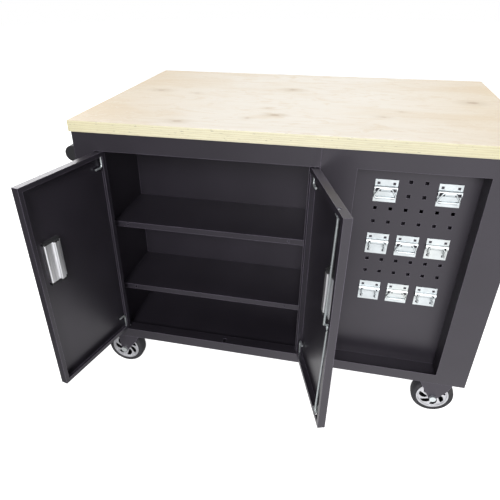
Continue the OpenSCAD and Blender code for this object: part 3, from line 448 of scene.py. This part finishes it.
def tyre_rubber(name, colour):
    """Matt rubber with patches of dust."""
    dusty = (0.11, 0.108, 0.10)
    finish = Finish(name, Specular_IOR_Level=0.35)
    where = finish.place()
    dust = finish.noise(where, 38, 4, 0.65)
    pore = finish.noise(where, 900, 2, 0.6)
    tone = finish.mix(pore, shade(colour, 0.8), shade(colour, 1.2))
    finish.set("Base Color", finish.mix(dust.ramp(0.48, 0.78) * 0.4, tone, dusty))
    finish.set("Roughness", 0.62 + 0.2 * dust)
    finish.bump(pore + 0.6 * dust, 0.16 * MM, 0.6)
    return finish.material


def moulded(name, colour):
    """Black nylon with a spark-eroded grain."""
    finish = Finish(name, Specular_IOR_Level=0.4)
    where = finish.place()
    cell = finish.node("ShaderNodeTexVoronoi", {"feature": "SMOOTH_F1"},
                       {"Vector": where, "Scale": 900, "Smoothness": 0.4})
    cloud = finish.noise(where, 40, 2)
    finish.set("Base Color", finish.mix(cloud, shade(colour, 0.8), shade(colour, 1.4)))
    finish.set("Roughness", 0.46 + 0.14 * cloud + 0.06 * cell)
    finish.bump(cell, 0.12 * MM, 0.6)
    return finish.material


finishes = {}


def finish_for(slot):
    """The material of one of the record's slots, made when it is first asked for."""
    colours = bpy.context.scene.trolley.colours
    coat, zinc = tuple(colours.coat), tuple(colours.zinc)
    makers = {
        "cabinet_steel": lambda: powder_coat("cabinet_coat", coat),
        # Painted light: the inner parts wear the cabinet's coat, made lighter in the base colour to offset the
        # shade inside the cupboard
        "inner_steel": lambda: powder_coat("inner_coat", shade(coat, 1.2), 0.48),
        # Painted light: the forks wear the cabinet's coat, made lighter in the base colour so that they look as
        # lit as the front
        "fork_steel": lambda: powder_coat("fork_coat", shade(coat, 1.5), 0.60),
        "plywood": lambda: birch_plywood(
            "birch_plywood", tuple(colours.wood), tuple(colours.wood_warm),
            tuple(colours.wood_edge)),
        "pull": lambda: brushed("drawn_aluminium", tuple(colours.aluminium), (420, 420, 5)),
        "zinc": lambda: zinc_plate("zinc_plating", zinc),
        "rod": lambda: zinc_plate("drawn_rod", shade(zinc, 0.75), 0.42),
        "rim": lambda: cast_rim("silver_rim", tuple(colours.rim)),
        "plastic": lambda: moulded("black_nylon", tuple(colours.plastic)),
        "tyre": lambda: tyre_rubber("grey_rubber", tuple(colours.rubber)),
    }
    if slot not in finishes:
        finishes[slot] = makers[slot]()
    return finishes[slot]


# Hand tools for the pieces

# Points closer than this are one, in a copy of a CAD node and in a new piece
CAD_WELD, WELD = 0.02 * MM, 0.01 * MM
# Straight lengths in one bend of a wire
BEND_STEPS = 6


def leave():
    """Goes back to object mode."""
    if bpy.context.object and bpy.context.object.mode != "OBJECT":
        bpy.ops.object.mode_set(mode="OBJECT")


def deselect():
    leave()
    bpy.ops.object.select_all(action="DESELECT")


def only(piece):
    """Selects one object and nothing else."""
    deselect()
    piece.select_set(True)
    bpy.context.view_layer.objects.active = piece


def edit(piece):
    """Opens one piece in edit mode with all of it selected."""
    only(piece)
    bpy.ops.object.mode_set(mode="EDIT")
    bpy.ops.mesh.select_mode(type="VERT")
    bpy.ops.mesh.select_all(action="SELECT")


def settle():
    """Gives the piece its place in its mesh, with its object at the origin."""
    bpy.ops.object.transform_apply(location=True, rotation=True, scale=True)


def modify(piece, kind, **settings):
    """Adds a modifier and applies it."""
    only(piece)
    step = piece.modifiers.new(kind.lower(), kind)
    for key, value in settings.items():
        setattr(step, key, value)
    bpy.ops.object.modifier_apply(modifier=step.name)


def soften(piece, angle=38):
    """Smooth shading that keeps flat faces flat."""
    only(piece)
    bpy.ops.object.shade_smooth_by_angle(angle=math.radians(angle))
    modify(piece, "WEIGHTED_NORMAL", keep_sharp=True, weight=80)


def body_of(node):
    for body, nodes in frame["record"]["behaviour"]["bodies"].items():
        if node in nodes:
            return body
    raise RuntimeError(f"no body holds {node}")


def done(piece, slot, body, *nodes):
    """Settles a piece, gives it its finish and body, and hides the nodes it stands for."""
    only(piece)
    settle()
    piece.data.materials.clear()
    piece.data.materials.append(finish_for(slot))
    if nodes:
        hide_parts(*nodes)
    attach(piece, body)
    return piece


def keep(slot, *nodes):
    """CAD nodes that stay as they are, with their finish."""
    for name in nodes:
        for holder in frame["nodes"][name].material_slots:
            holder.material = finish_for(slot)


def area(piece):
    piece.data.calc_loop_triangles()
    return sum(triangle.area for triangle in piece.data.loop_triangles)


def merged(node, name, whole):
    """A copy of a CAD node's mesh without doubles. whole joins its triangles into faces."""
    piece = bpy.data.objects.new(name, frame["nodes"][node].data.copy())
    bpy.context.collection.objects.link(piece)
    only(piece)
    if piece.data.has_custom_normals:
        bpy.ops.mesh.customdata_custom_splitnormals_clear()
    edit(piece)
    bpy.ops.mesh.remove_doubles(threshold=CAD_WELD)
    if whole:
        bpy.ops.mesh.dissolve_limited(angle_limit=math.radians(0.6))
    leave()
    return piece


def split(piece):
    """The loose parts of a piece, as pieces of their own."""
    edit(piece)
    bpy.ops.mesh.separate(type="LOOSE")
    leave()
    return list(bpy.context.selected_objects)


def rounded(piece, width, angle=34, segments=None):
    """Rounds the edges that are sharper than the angle."""
    segments = segments or bpy.context.scene.trolley.edges.segments
    modify(piece, "BEVEL", width=width, segments=segments, limit_method="ANGLE",
           angle_limit=math.radians(angle), use_clamp_overlap=True)


def eased(node, slot, width, angle=34, segments=None, whole=True):
    """A copy of a CAD node with rounded edges, which stands for it."""
    piece = merged(node, f"{node}_eased", whole)
    rounded(piece, width, angle, segments)
    # A face that has lost its opening makes the piece much too large
    if area(piece) > 1.02 * area(frame["nodes"][node]):
        bpy.data.objects.remove(piece)
        if not whole:
            raise RuntimeError(f"the edges of {node} can't be rounded")
        return eased(node, slot, width, angle, segments, whole=False)
    soften(piece)
    return done(piece, slot, body_of(node), node)


def drawn(name, points, closed):
    """A line through the points, drawn by pulling a vertex from one to the next."""
    deselect()
    bpy.ops.mesh.primitive_plane_add(size=10 * MM, location=points[0])
    line = bpy.context.object
    line.name = name
    edit(line)
    bpy.ops.mesh.merge(type="CENTER")
    for here, ahead in zip(points, points[1:]):
        bpy.ops.mesh.extrude_region_move(
            TRANSFORM_OT_translate={"value": tuple(Vector(ahead) - Vector(here))})
    if closed:
        leave()
        for vertex in line.data.vertices:
            vertex.select = vertex.index in (0, len(line.data.vertices) - 1)
        bpy.ops.object.mode_set(mode="EDIT")
        bpy.ops.mesh.edge_face_add()
    leave()
    return line


def closed_up():
    """Joins the doubles of the piece in edit mode and points its faces outwards."""
    bpy.ops.mesh.select_all(action="SELECT")
    bpy.ops.mesh.remove_doubles(threshold=WELD)
    bpy.ops.mesh.normals_make_consistent(inside=False)
    leave()


def turned(name, outline, centre, axis, steps):
    """A closed ring or disc, turned round an axis from points of (radius, place along it)."""
    axis = Vector(axis).normalized()
    out = axis.orthogonal().normalized()
    points = [Vector(centre) + out * r + axis * a for r, a in outline]
    hollow = min(r for r, a in outline) > 0
    piece = drawn(name, points, hollow)
    edit(piece)
    bpy.ops.mesh.spin(steps=steps, angle=2 * math.pi, center=tuple(centre), axis=tuple(axis))
    closed_up()
    settle()
    return piece


def bends(corners, bend, closed):
    """The points of a wire, with an arc of the radius bend at each corner."""
    points = []
    for i, corner in enumerate(corners):
        here = Vector(corner)
        if not closed and i in (0, len(corners) - 1):
            points.append(here)
            continue
        back = Vector(corners[i - 1]) - here
        ahead = Vector(corners[(i + 1) % len(corners)]) - here
        half = back.angle(ahead) / 2
        # A bend takes less than half of each straight beside it
        run = min(bend / math.tan(half), 0.49 * back.length, 0.49 * ahead.length)
        back.normalize()
        ahead.normalize()
        middle = here + (back + ahead).normalized() * (run / math.cos(half))
        first = here + back * run - middle
        last = here + ahead * run - middle
        for step in range(BEND_STEPS + 1):
            turn = first.normalized().slerp(last.normalized(), step / BEND_STEPS)
            points.append(middle + turn * first.length)
    return points


def wire(name, corners, radius, bend, closed=False):
    """A bent round wire."""
    line = drawn(name, bends(corners, bend, closed), closed)
    only(line)
    settle()
    bpy.ops.object.convert(target="CURVE")
    line = bpy.context.object
    line.data.dimensions = "3D"
    line.data.bevel_depth = radius
    line.data.bevel_resolution = 5
    line.data.use_fill_caps = True
    bpy.ops.object.convert(target="MESH")
    piece = bpy.context.object
    edit(piece)
    closed_up()
    only(piece)
    bpy.ops.object.shade_smooth_by_angle(angle=math.radians(50))
    return piece


def middle_of(node):
    low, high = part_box(node)
    return (Vector(low) + Vector(high)) / 2


def joint(name):
    """Where a joint of the frame is, and the direction of its axis."""
    found = next(entry for entry in frame["joints"] if entry["name"] == name)
    return Vector(found["pos_m"]), Vector(found["axis"]).normalized()


# The pieces


class TROLLEY_OT_cabinet(bpy.types.Operator):
    """Folded sheets of the cabinet"""

    bl_idname = "trolley.cabinet"
    bl_label = "Cabinet"

    def execute(self, context):
        edge = context.scene.trolley.edges.sheet
        for node in ("cupboard_frame", "bay_frame", "rear_frame", "left_side", "right_side"):
            eased(node, "cabinet_steel", edge * 0.7)
        eased("peg_panel", "cabinet_steel", edge * 0.4)
        keep("inner_steel", "top_braces", "base_frame", "cabinet_floor", "divider",
             "cupboard_liner", "drawer_walls")
        return {"FINISHED"}


class TROLLEY_OT_worktop(bpy.types.Operator):
    """Plywood worktop with eased edges"""

    bl_idname = "trolley.worktop"
    bl_label = "Worktop"

    def execute(self, context):
        eased("worktop", "plywood", context.scene.trolley.edges.wood, segments=3)
        return {"FINISHED"}


class TROLLEY_OT_cupboard(bpy.types.Operator):
    """Shelves, the pins that carry them, and the crowns of the screws round the doors"""

    bl_idname = "trolley.cupboard"
    bl_label = "Cupboard"

    # Section of a crown: shares of the screw's radius, and heights in millimetres
    CROWN = ((0, 0), (1, 0), (0.97, 0.15), (0.75, 0.40), (0.4, 0.55), (0, 0.6))
    # A crown starts at this share of its screw's height over the middle, just under the face
    SEAT = 0.48

    def execute(self, context):
        for node in ("shelf_upper", "shelf_lower"):
            eased(node, "inner_steel", context.scene.trolley.edges.sheet)
        keep("zinc", "shelf_pins")
        self.crowns()
        return {"FINISHED"}

    def crowns(self):
        """Low crowns on the four small screws, which are found by their size."""
        spots = []
        for part in split(merged("fasteners", "small_screws", True)):
            if max(part.dimensions) < 8 * MM:
                low, high = (Vector([pick(v.co[i] for v in part.data.vertices) for i in range(3)])
                             for pick in (min, max))
                spots.append(((low + high) / 2, high - low))
            bpy.data.objects.remove(part)
        for i, (middle, size) in enumerate(sorted(spots, key=lambda spot: tuple(spot[0]))):
            flat = min(range(3), key=lambda k: size[k])
            out = Vector((0, -1, 0)) if flat == 1 else Vector((0, 0, 1))
            radius = max(size) / 2
            head = turned(f"screw_head_{i}", [(radius * r, h * MM) for r, h in self.CROWN],
                          middle + out * size[flat] * self.SEAT, out, steps=24)
            soften(head, angle=60)
            done(head, "zinc", "cabinet")


class TROLLEY_OT_doors(bpy.types.Operator):
    """Both doors with their pulls, end caps and hinge pins"""

    bl_idname = "trolley.doors"
    bl_label = "Doors"

    # Radius of a hinge pin and of its bend
    PIN, PIN_BEND = 3 * MM, 7 * MM

    def pull(self, side, width):
        """The aluminium of a pull, and its end caps as one piece."""
        parts = split(merged(f"pull_{side}", f"pull_{side}_aluminium", True))
        *caps, aluminium = sorted(parts, key=lambda part: part.dimensions.z)
        only(caps[0])
        for cap in caps[1:]:
            cap.select_set(True)
        bpy.ops.object.join()
        caps = bpy.context.object
        aluminium.name = f"pull_{side}_aluminium"
        caps.name = f"pull_{side}_caps"
        for piece in (aluminium, caps):
            rounded(piece, width)
            soften(piece)
        done(aluminium, "pull", body_of(f"pull_{side}"), f"pull_{side}")
        done(caps, "plastic", body_of(f"pull_{side}"))

    def hinge(self, side):
        """The upper and the lower bent pin, upright on the axis of the door."""
        node = f"pins_{side}"
        axis, _ = joint(f"door_{side}_hinge")
        spots = [v.co for v in frame["nodes"][node].data.vertices]
        middle = (min(v.z for v in spots) + max(v.z for v in spots)) / 2
        radius = self.PIN
        pins = []
        for level, sign in (("upper", 1), ("lower", -1)):
            half = [v for v in spots if (v.z - middle) * sign > 0]
            tip = max(half, key=lambda v: v.z * sign).z
            foot = min(half, key=lambda v: v.z * sign).z + sign * radius
            reach = max(half, key=lambda v: (v.xy - axis.xy).length)
            along = reach.xy - axis.xy
            leg = math.sqrt(along.length ** 2 - radius ** 2)
            # The farthest points lie on both sides of the leg, so it points to their middle
            ends = [v for v in half if (v.xy - axis.xy).length > along.length - 0.02 * MM]
            aim = sum((v.xy for v in ends), Vector((0, 0))) / len(ends) - axis.xy
            end = axis.xy + aim.normalized() * leg
            pins.append(wire(
                f"hinge_pin_{side}_{level}",
                [(axis.x, axis.y, tip), (axis.x, axis.y, foot), (end.x, end.y, foot)],
                radius, self.PIN_BEND))
        done(pins[0], "zinc", body_of(node), node)
        done(pins[1], "zinc", body_of(node))

    def execute(self, context):
        edges = context.scene.trolley.edges
        for side in ("left", "right"):
            eased(f"door_{side}", "cabinet_steel", edges.sheet)
            self.pull(side, edges.plate)
            self.hinge(side)
        return {"FINISHED"}


class TROLLEY_OT_lock(bpy.types.Operator):
    """Lock barrel, the cam with its screw, and the rods with their guides"""

    bl_idname = "trolley.lock"
    bl_label = "Lock"

    # Section of the cam's screw: radius and height, in millimetres
    SCREW = ((0, 0), (4.2, 0), (4.2, 1.3), (3.5, 2.0), (0, 2.2))

    def execute(self, context):
        plate = context.scene.trolley.edges.plate
        eased("lock_barrel", "zinc", plate * 1.5, segments=3)
        eased("lock_cam", "zinc", plate)
        keep("zinc", "rod_guides")
        keep("rod", "rod_upper", "rod_lower")
        # The screw is on the face of the cam that shows when the door is open
        pivot, axis = joint("lock_cam_turn")
        inward = -axis
        deep = max(inward.dot(v.co - pivot) for v in frame["nodes"]["lock_cam"].data.vertices)
        head = turned("cam_screw", [(r * MM, h * MM) for r, h in self.SCREW],
                      pivot + inward * deep, inward, steps=32)
        soften(head)
        done(head, "zinc", "cam_body")
        return {"FINISHED"}


class TROLLEY_OT_tool_bay(bpy.types.Operator):
    """Holder plates with their rings and hooks"""

    bl_idname = "trolley.tool_bay"
    bl_label = "Tool bay"

    # All in millimetres: the wire, its bends, and its corners from the middle of the upper run
    WIRE = 2.2
    RING_BEND, HOOK_BEND = 4.5, 5.9
    RING = ((-15, 0, 0), (15, 0, 0), (29.6, 0, -24), (-29.6, 0, -24))
    HOOK = ((-19, -12, -10), (-19, -12, -20.6), (-19, 0, -20.6), (-19, 0, 0),
            (19, 0, 0), (19, 0, -20.6), (19, -12, -20.6), (19, -12, -10))
    # The upper run of a ring lies this far under its top, and that of a hook this much in front
    RING_DROP, HOOK_FRONT = 2.25, 0.3

    def bent(self, name, middle, corners, bend, closed=False):
        return wire(name, [middle + Vector(corner) * MM for corner in corners],
                    self.WIRE * MM, bend * MM, closed)

    def execute(self, context):
        eased("holder_plates", "zinc", context.scene.trolley.edges.plate * 0.8)
        spots = {}
        for name in ("top_left", "top_right", "middle", "bottom"):
            node = f"ring_{name}"
            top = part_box(node)[1][2]
            spots[name] = Vector((*middle_of(node).xy, top - self.RING_DROP * MM))
            ring = self.bent(f"wire_{node}", spots[name], self.RING, self.RING_BEND, closed=True)
            done(ring, "zinc", f"{node}_body", node)
        # Double hooks hang beside the two lower rings, in line with the upper two
        stands_for = ("wire_hooks",)
        for row in ("middle", "bottom"):
            for column in ("top_left", "top_right"):
                spot = Vector((spots[column].x, spots["middle"].y - self.HOOK_FRONT * MM,
                               spots[row].z))
                hook = self.bent(f"hook_{row}_{column}", spot, self.HOOK, self.HOOK_BEND)
                done(hook, "zinc", "cabinet", *stands_for)
                stands_for = ()
        return {"FINISHED"}


class TROLLEY_OT_casters(bpy.types.Operator):
    """Tyres, rims, forks, brake pedals and bolts"""

    bl_idname = "trolley.casters"
    bl_label = "Casters"

    # Half of a tyre's section, from the rim to the middle of the tread, in millimetres
    SECTION = ((47.0, -18.6), (48.0, -19.8), (51.5, -20.0), (52.2, -19.4), (53.8, -19.4),
               (54.5, -19.9), (56.0, -19.8), (58.6, -18.6), (60.6, -16.0), (61.9, -12.0),
               (62.4, -7.0), (62.5, -2.5))
    # Radii on the edges of rims, axle bolts, brake pedals and top plates
    RIM_EDGE, AXLE_EDGE, PEDAL_EDGE, PLATE_EDGE = 0.7 * MM, 0.9 * MM, 1.1 * MM, 0.6 * MM

    def execute(self, context):
        edges = context.scene.trolley.edges
        half = [(r * MM, a * MM) for r, a in self.SECTION]
        outline = half + [(r, -a) for r, a in reversed(half)]
        model = None
        for name in ("left_front", "left_rear", "right_front", "right_rear"):
            centre = middle_of(f"tyre_{name}")
            if model is None:
                tyre = turned(f"wheel_tyre_{name}", outline, centre, (0, 1, 0), steps=96)
                soften(tyre, angle=30)
                model, home = tyre.data.copy(), centre
            else:
                tyre = bpy.data.objects.new(f"wheel_tyre_{name}", model.copy())
                bpy.context.collection.objects.link(tyre)
                tyre.data.transform(Matrix.Translation(centre - home))
            done(tyre, "tyre", f"wheel_{name}_body", f"tyre_{name}")
            eased(f"rim_{name}", "rim", self.RIM_EDGE, angle=40)
        for end in ("front", "rear"):
            eased(f"swivel_fork_{end}", "fork_steel", edges.sheet * 0.9)
            eased(f"swivel_axle_{end}", "zinc", self.AXLE_EDGE)
            eased(f"brake_pedal_{end}", "plastic", self.PEDAL_EDGE)
        eased("fixed_forks", "fork_steel", edges.sheet * 0.9)
        eased("fixed_axles", "zinc", self.AXLE_EDGE)
        eased("caster_plates", "zinc", self.PLATE_EDGE)
        eased("fasteners", "zinc", edges.plate)
        return {"FINISHED"}


class TROLLEY_OT_handle(bpy.types.Operator):
    """Push handle on its two brackets"""

    bl_idname = "trolley.handle"
    bl_label = "Push handle"

    def execute(self, context):
        eased("handle_brackets", "plastic", context.scene.trolley.edges.plastic, segments=4)
        keep("cabinet_steel", "push_handle")
        return {"FINISHED"}


class TROLLEY_OT_drawers(bpy.types.Operator):
    """Six drawers and their fixed channels"""

    bl_idname = "trolley.drawers"
    bl_label = "Drawers"

    def execute(self, context):
        edge = context.scene.trolley.edges.sheet
        for bank in ("wide", "narrow"):
            for level in ("top", "middle", "low"):
                eased(f"drawer_{bank}_{level}", "cabinet_steel", edge * 0.7)
        keep("zinc", "slide_channels")
        return {"FINISHED"}


class TROLLEY_OT_stage(bpy.types.Operator):
    """White floor, soft lamps and the camera"""

    bl_idname = "trolley.stage"
    bl_label = "Studio"

    # Each lamp's name, place, aim and width, and the setting that holds its power
    LAMPS = (
        ("key_lamp", (0.3, -5.6, 3.3), (0.1, 0, 0.5), 2.0, "key"),
        ("fill_lamp", (-2.6, -2.4, 1.8), (0, 0, 0.5), 2.0, "fill"),
        ("top_lamp", (0.2, 0.3, 3.0), (0, 0.1, 0.8), 2.4, "top"),
        ("back_lamp", (-3.4, 3.0, 2.3), (0, 0, 0.5), 2.0, "back"),
        ("back_lamp", (3.4, 3.0, 2.3), (0, 0, 0.5), 2.0, "back"),
    )
    # The photograph's viewpoint in metres, its yaw, pitch and roll, and its lens
    VIEWPOINT = (0.15916, -1.34735, 1.19572)
    YAW, PITCH, ROLL = -0.2347, 0.5418, 0.0076
    LENS, SENSOR, SHIFT, FAR_CLIP = 34.364, 36, (0.03326, 0.01734), 60
    FLOOR_RADIUS, FLOOR_DEPTH = 14, 0.5 * MM
    FLOOR_WHITE, WHITE = (0.86, 0.86, 0.86), (1, 1, 1)
    # The floor's own light for the camera, and the darkest and brightest that gloss shows of it
    FLOOR_LIGHT = 0.90
    GLOSS_LOW, GLOSS_HIGH = (0.12, 0.12, 0.12), (1.35, 1.35, 1.35)

    def execute(self, context):
        deselect()
        for lamp in self.LAMPS:
            self.lamp(*lamp)
        self.camera(context)
        self.floor()
        self.surroundings(context)
        context.scene.view_settings.view_transform = "Standard"
        return {"FINISHED"}

    def lamp(self, name, place, aim, size, setting):
        bpy.ops.object.light_add(type="AREA", location=place)
        lamp = bpy.context.object
        lamp.name = name
        lamp.data.shape = "DISK"
        lamp.data.size = size
        lamp.data.energy = getattr(bpy.context.scene.trolley.light, setting)
        lamp.rotation_euler = (Vector(aim) - Vector(place)).to_track_quat("-Z", "Y").to_euler()

    def camera(self, context):
        """The camera at the photograph's viewpoint."""
        yaw, pitch, roll = self.YAW, self.PITCH, self.ROLL
        forward = Vector((math.sin(yaw) * math.cos(pitch), math.cos(yaw) * math.cos(pitch),
                          -math.sin(pitch)))
        right = Vector((math.cos(yaw), -math.sin(yaw), 0))
        down = forward.cross(right)
        # Both turned by the roll, these are the frame's right and its down
        across = math.cos(roll) * right + math.sin(roll) * down
        below = -math.sin(roll) * right + math.cos(roll) * down
        bpy.ops.object.camera_add(location=self.VIEWPOINT)
        camera = bpy.context.object
        camera.rotation_euler = Matrix((across, -below, -forward)).transposed().to_euler()
        camera.data.sensor_width = self.SENSOR
        camera.data.lens = self.LENS
        camera.data.shift_x, camera.data.shift_y = self.SHIFT
        camera.data.clip_end = self.FAR_CLIP
        context.scene.camera = camera

    def floor(self):
        """A white floor that keeps the shadow. The camera sees its own light, and gloss sees a painted reflection.
        """
        bpy.ops.mesh.primitive_circle_add(
            vertices=64, radius=self.FLOOR_RADIUS, fill_type="NGON",
            location=(0, 0, -self.FLOOR_DEPTH))
        floor = bpy.context.object
        floor.name = "studio_floor"
        settle()
        matt = {"Base Color": self.FLOOR_WHITE, "Roughness": 0.9, "Specular IOR Level": 0.1}
        finish = Finish("studio_white", **matt)
        plain = Wire(finish, finish.shader.outputs[0])
        lit = finish.node("ShaderNodeBsdfPrincipled", None,
                          {**matt, "Emission Color": self.WHITE,
                           "Emission Strength": self.FLOOR_LIGHT})
        # Painted reflection: gloss alone sees the floor glow, darker towards the far left, and the fronts mirror
        # that gradient
        east = finish.axes(finish.place())[0]
        painted_reflection = finish.node("ShaderNodeEmission", None, {
            "Color": finish.mix(east.ramp(-1.2, 0.7), self.GLOSS_LOW, self.GLOSS_HIGH)})
        seen = finish.node("ShaderNodeMixShader", None,
                           {0: finish.ray("Camera"), 1: plain, 2: lit})
        finish.show(finish.node("ShaderNodeMixShader", None,
                                {0: finish.ray("Glossy"), 1: seen, 2: painted_reflection}))
        floor.data.materials.append(finish.material)

    def surroundings(self, context):
        """White where it is seen, also in gloss, and a faint light from all sides."""
        world = bpy.data.worlds.new("studio_surroundings")
        nodes = Nodes(world)
        seen = nodes.ray("Camera").larger(nodes.ray("Glossy")).larger(nodes.ray("Transmission"))
        level = nodes.node("ShaderNodeMapRange", None, {
            "Value": seen, "To Min": context.scene.trolley.light.world, "To Max": 1.0})
        sky = nodes.node("ShaderNodeBackground", None, {"Color": self.WHITE, "Strength": level})
        nodes.node("ShaderNodeOutputWorld", None, {"Surface": sky}, output=None)
        context.scene.world = world


OPERATORS = (
    TROLLEY_OT_cabinet, TROLLEY_OT_worktop, TROLLEY_OT_cupboard, TROLLEY_OT_doors,
    TROLLEY_OT_lock, TROLLEY_OT_tool_bay, TROLLEY_OT_casters, TROLLEY_OT_handle,
    TROLLEY_OT_drawers, TROLLEY_OT_stage,
)


class TROLLEY_PT_panel(bpy.types.Panel):
    """Settings and steps of the trolley"""

    bl_idname = "TROLLEY_PT_panel"
    bl_label = "Tool trolley"
    bl_space_type = "VIEW_3D"
    bl_region_type = "UI"
    bl_category = "Trolley"

    def draw(self, context):
        settings = context.scene.trolley
        for group in (settings.edges, settings.colours, settings.light):
            box = self.layout.box()
            for name in group.__annotations__:
                box.prop(group, name)
        for operator in OPERATORS:
            self.layout.operator(operator.bl_idname)


CLASSES = (TrolleyEdges, TrolleyColours, TrolleyLight, TrolleySettings) + OPERATORS + (
    TROLLEY_PT_panel,)


def register():
    for entry in CLASSES:
        bpy.utils.register_class(entry)
    bpy.types.Scene.trolley = PointerProperty(type=TrolleySettings)


def unregister():
    del bpy.types.Scene.trolley
    for entry in reversed(CLASSES):
        bpy.utils.unregister_class(entry)


def main():
    register()
    bpy.ops.trolley.cabinet()
    bpy.ops.trolley.worktop()
    bpy.ops.trolley.cupboard()
    bpy.ops.trolley.doors()
    bpy.ops.trolley.lock()
    bpy.ops.trolley.tool_bay()
    bpy.ops.trolley.casters()
    bpy.ops.trolley.handle()
    bpy.ops.trolley.drawers()
    bpy.ops.trolley.stage()


if __name__ == "__main__":
    main()
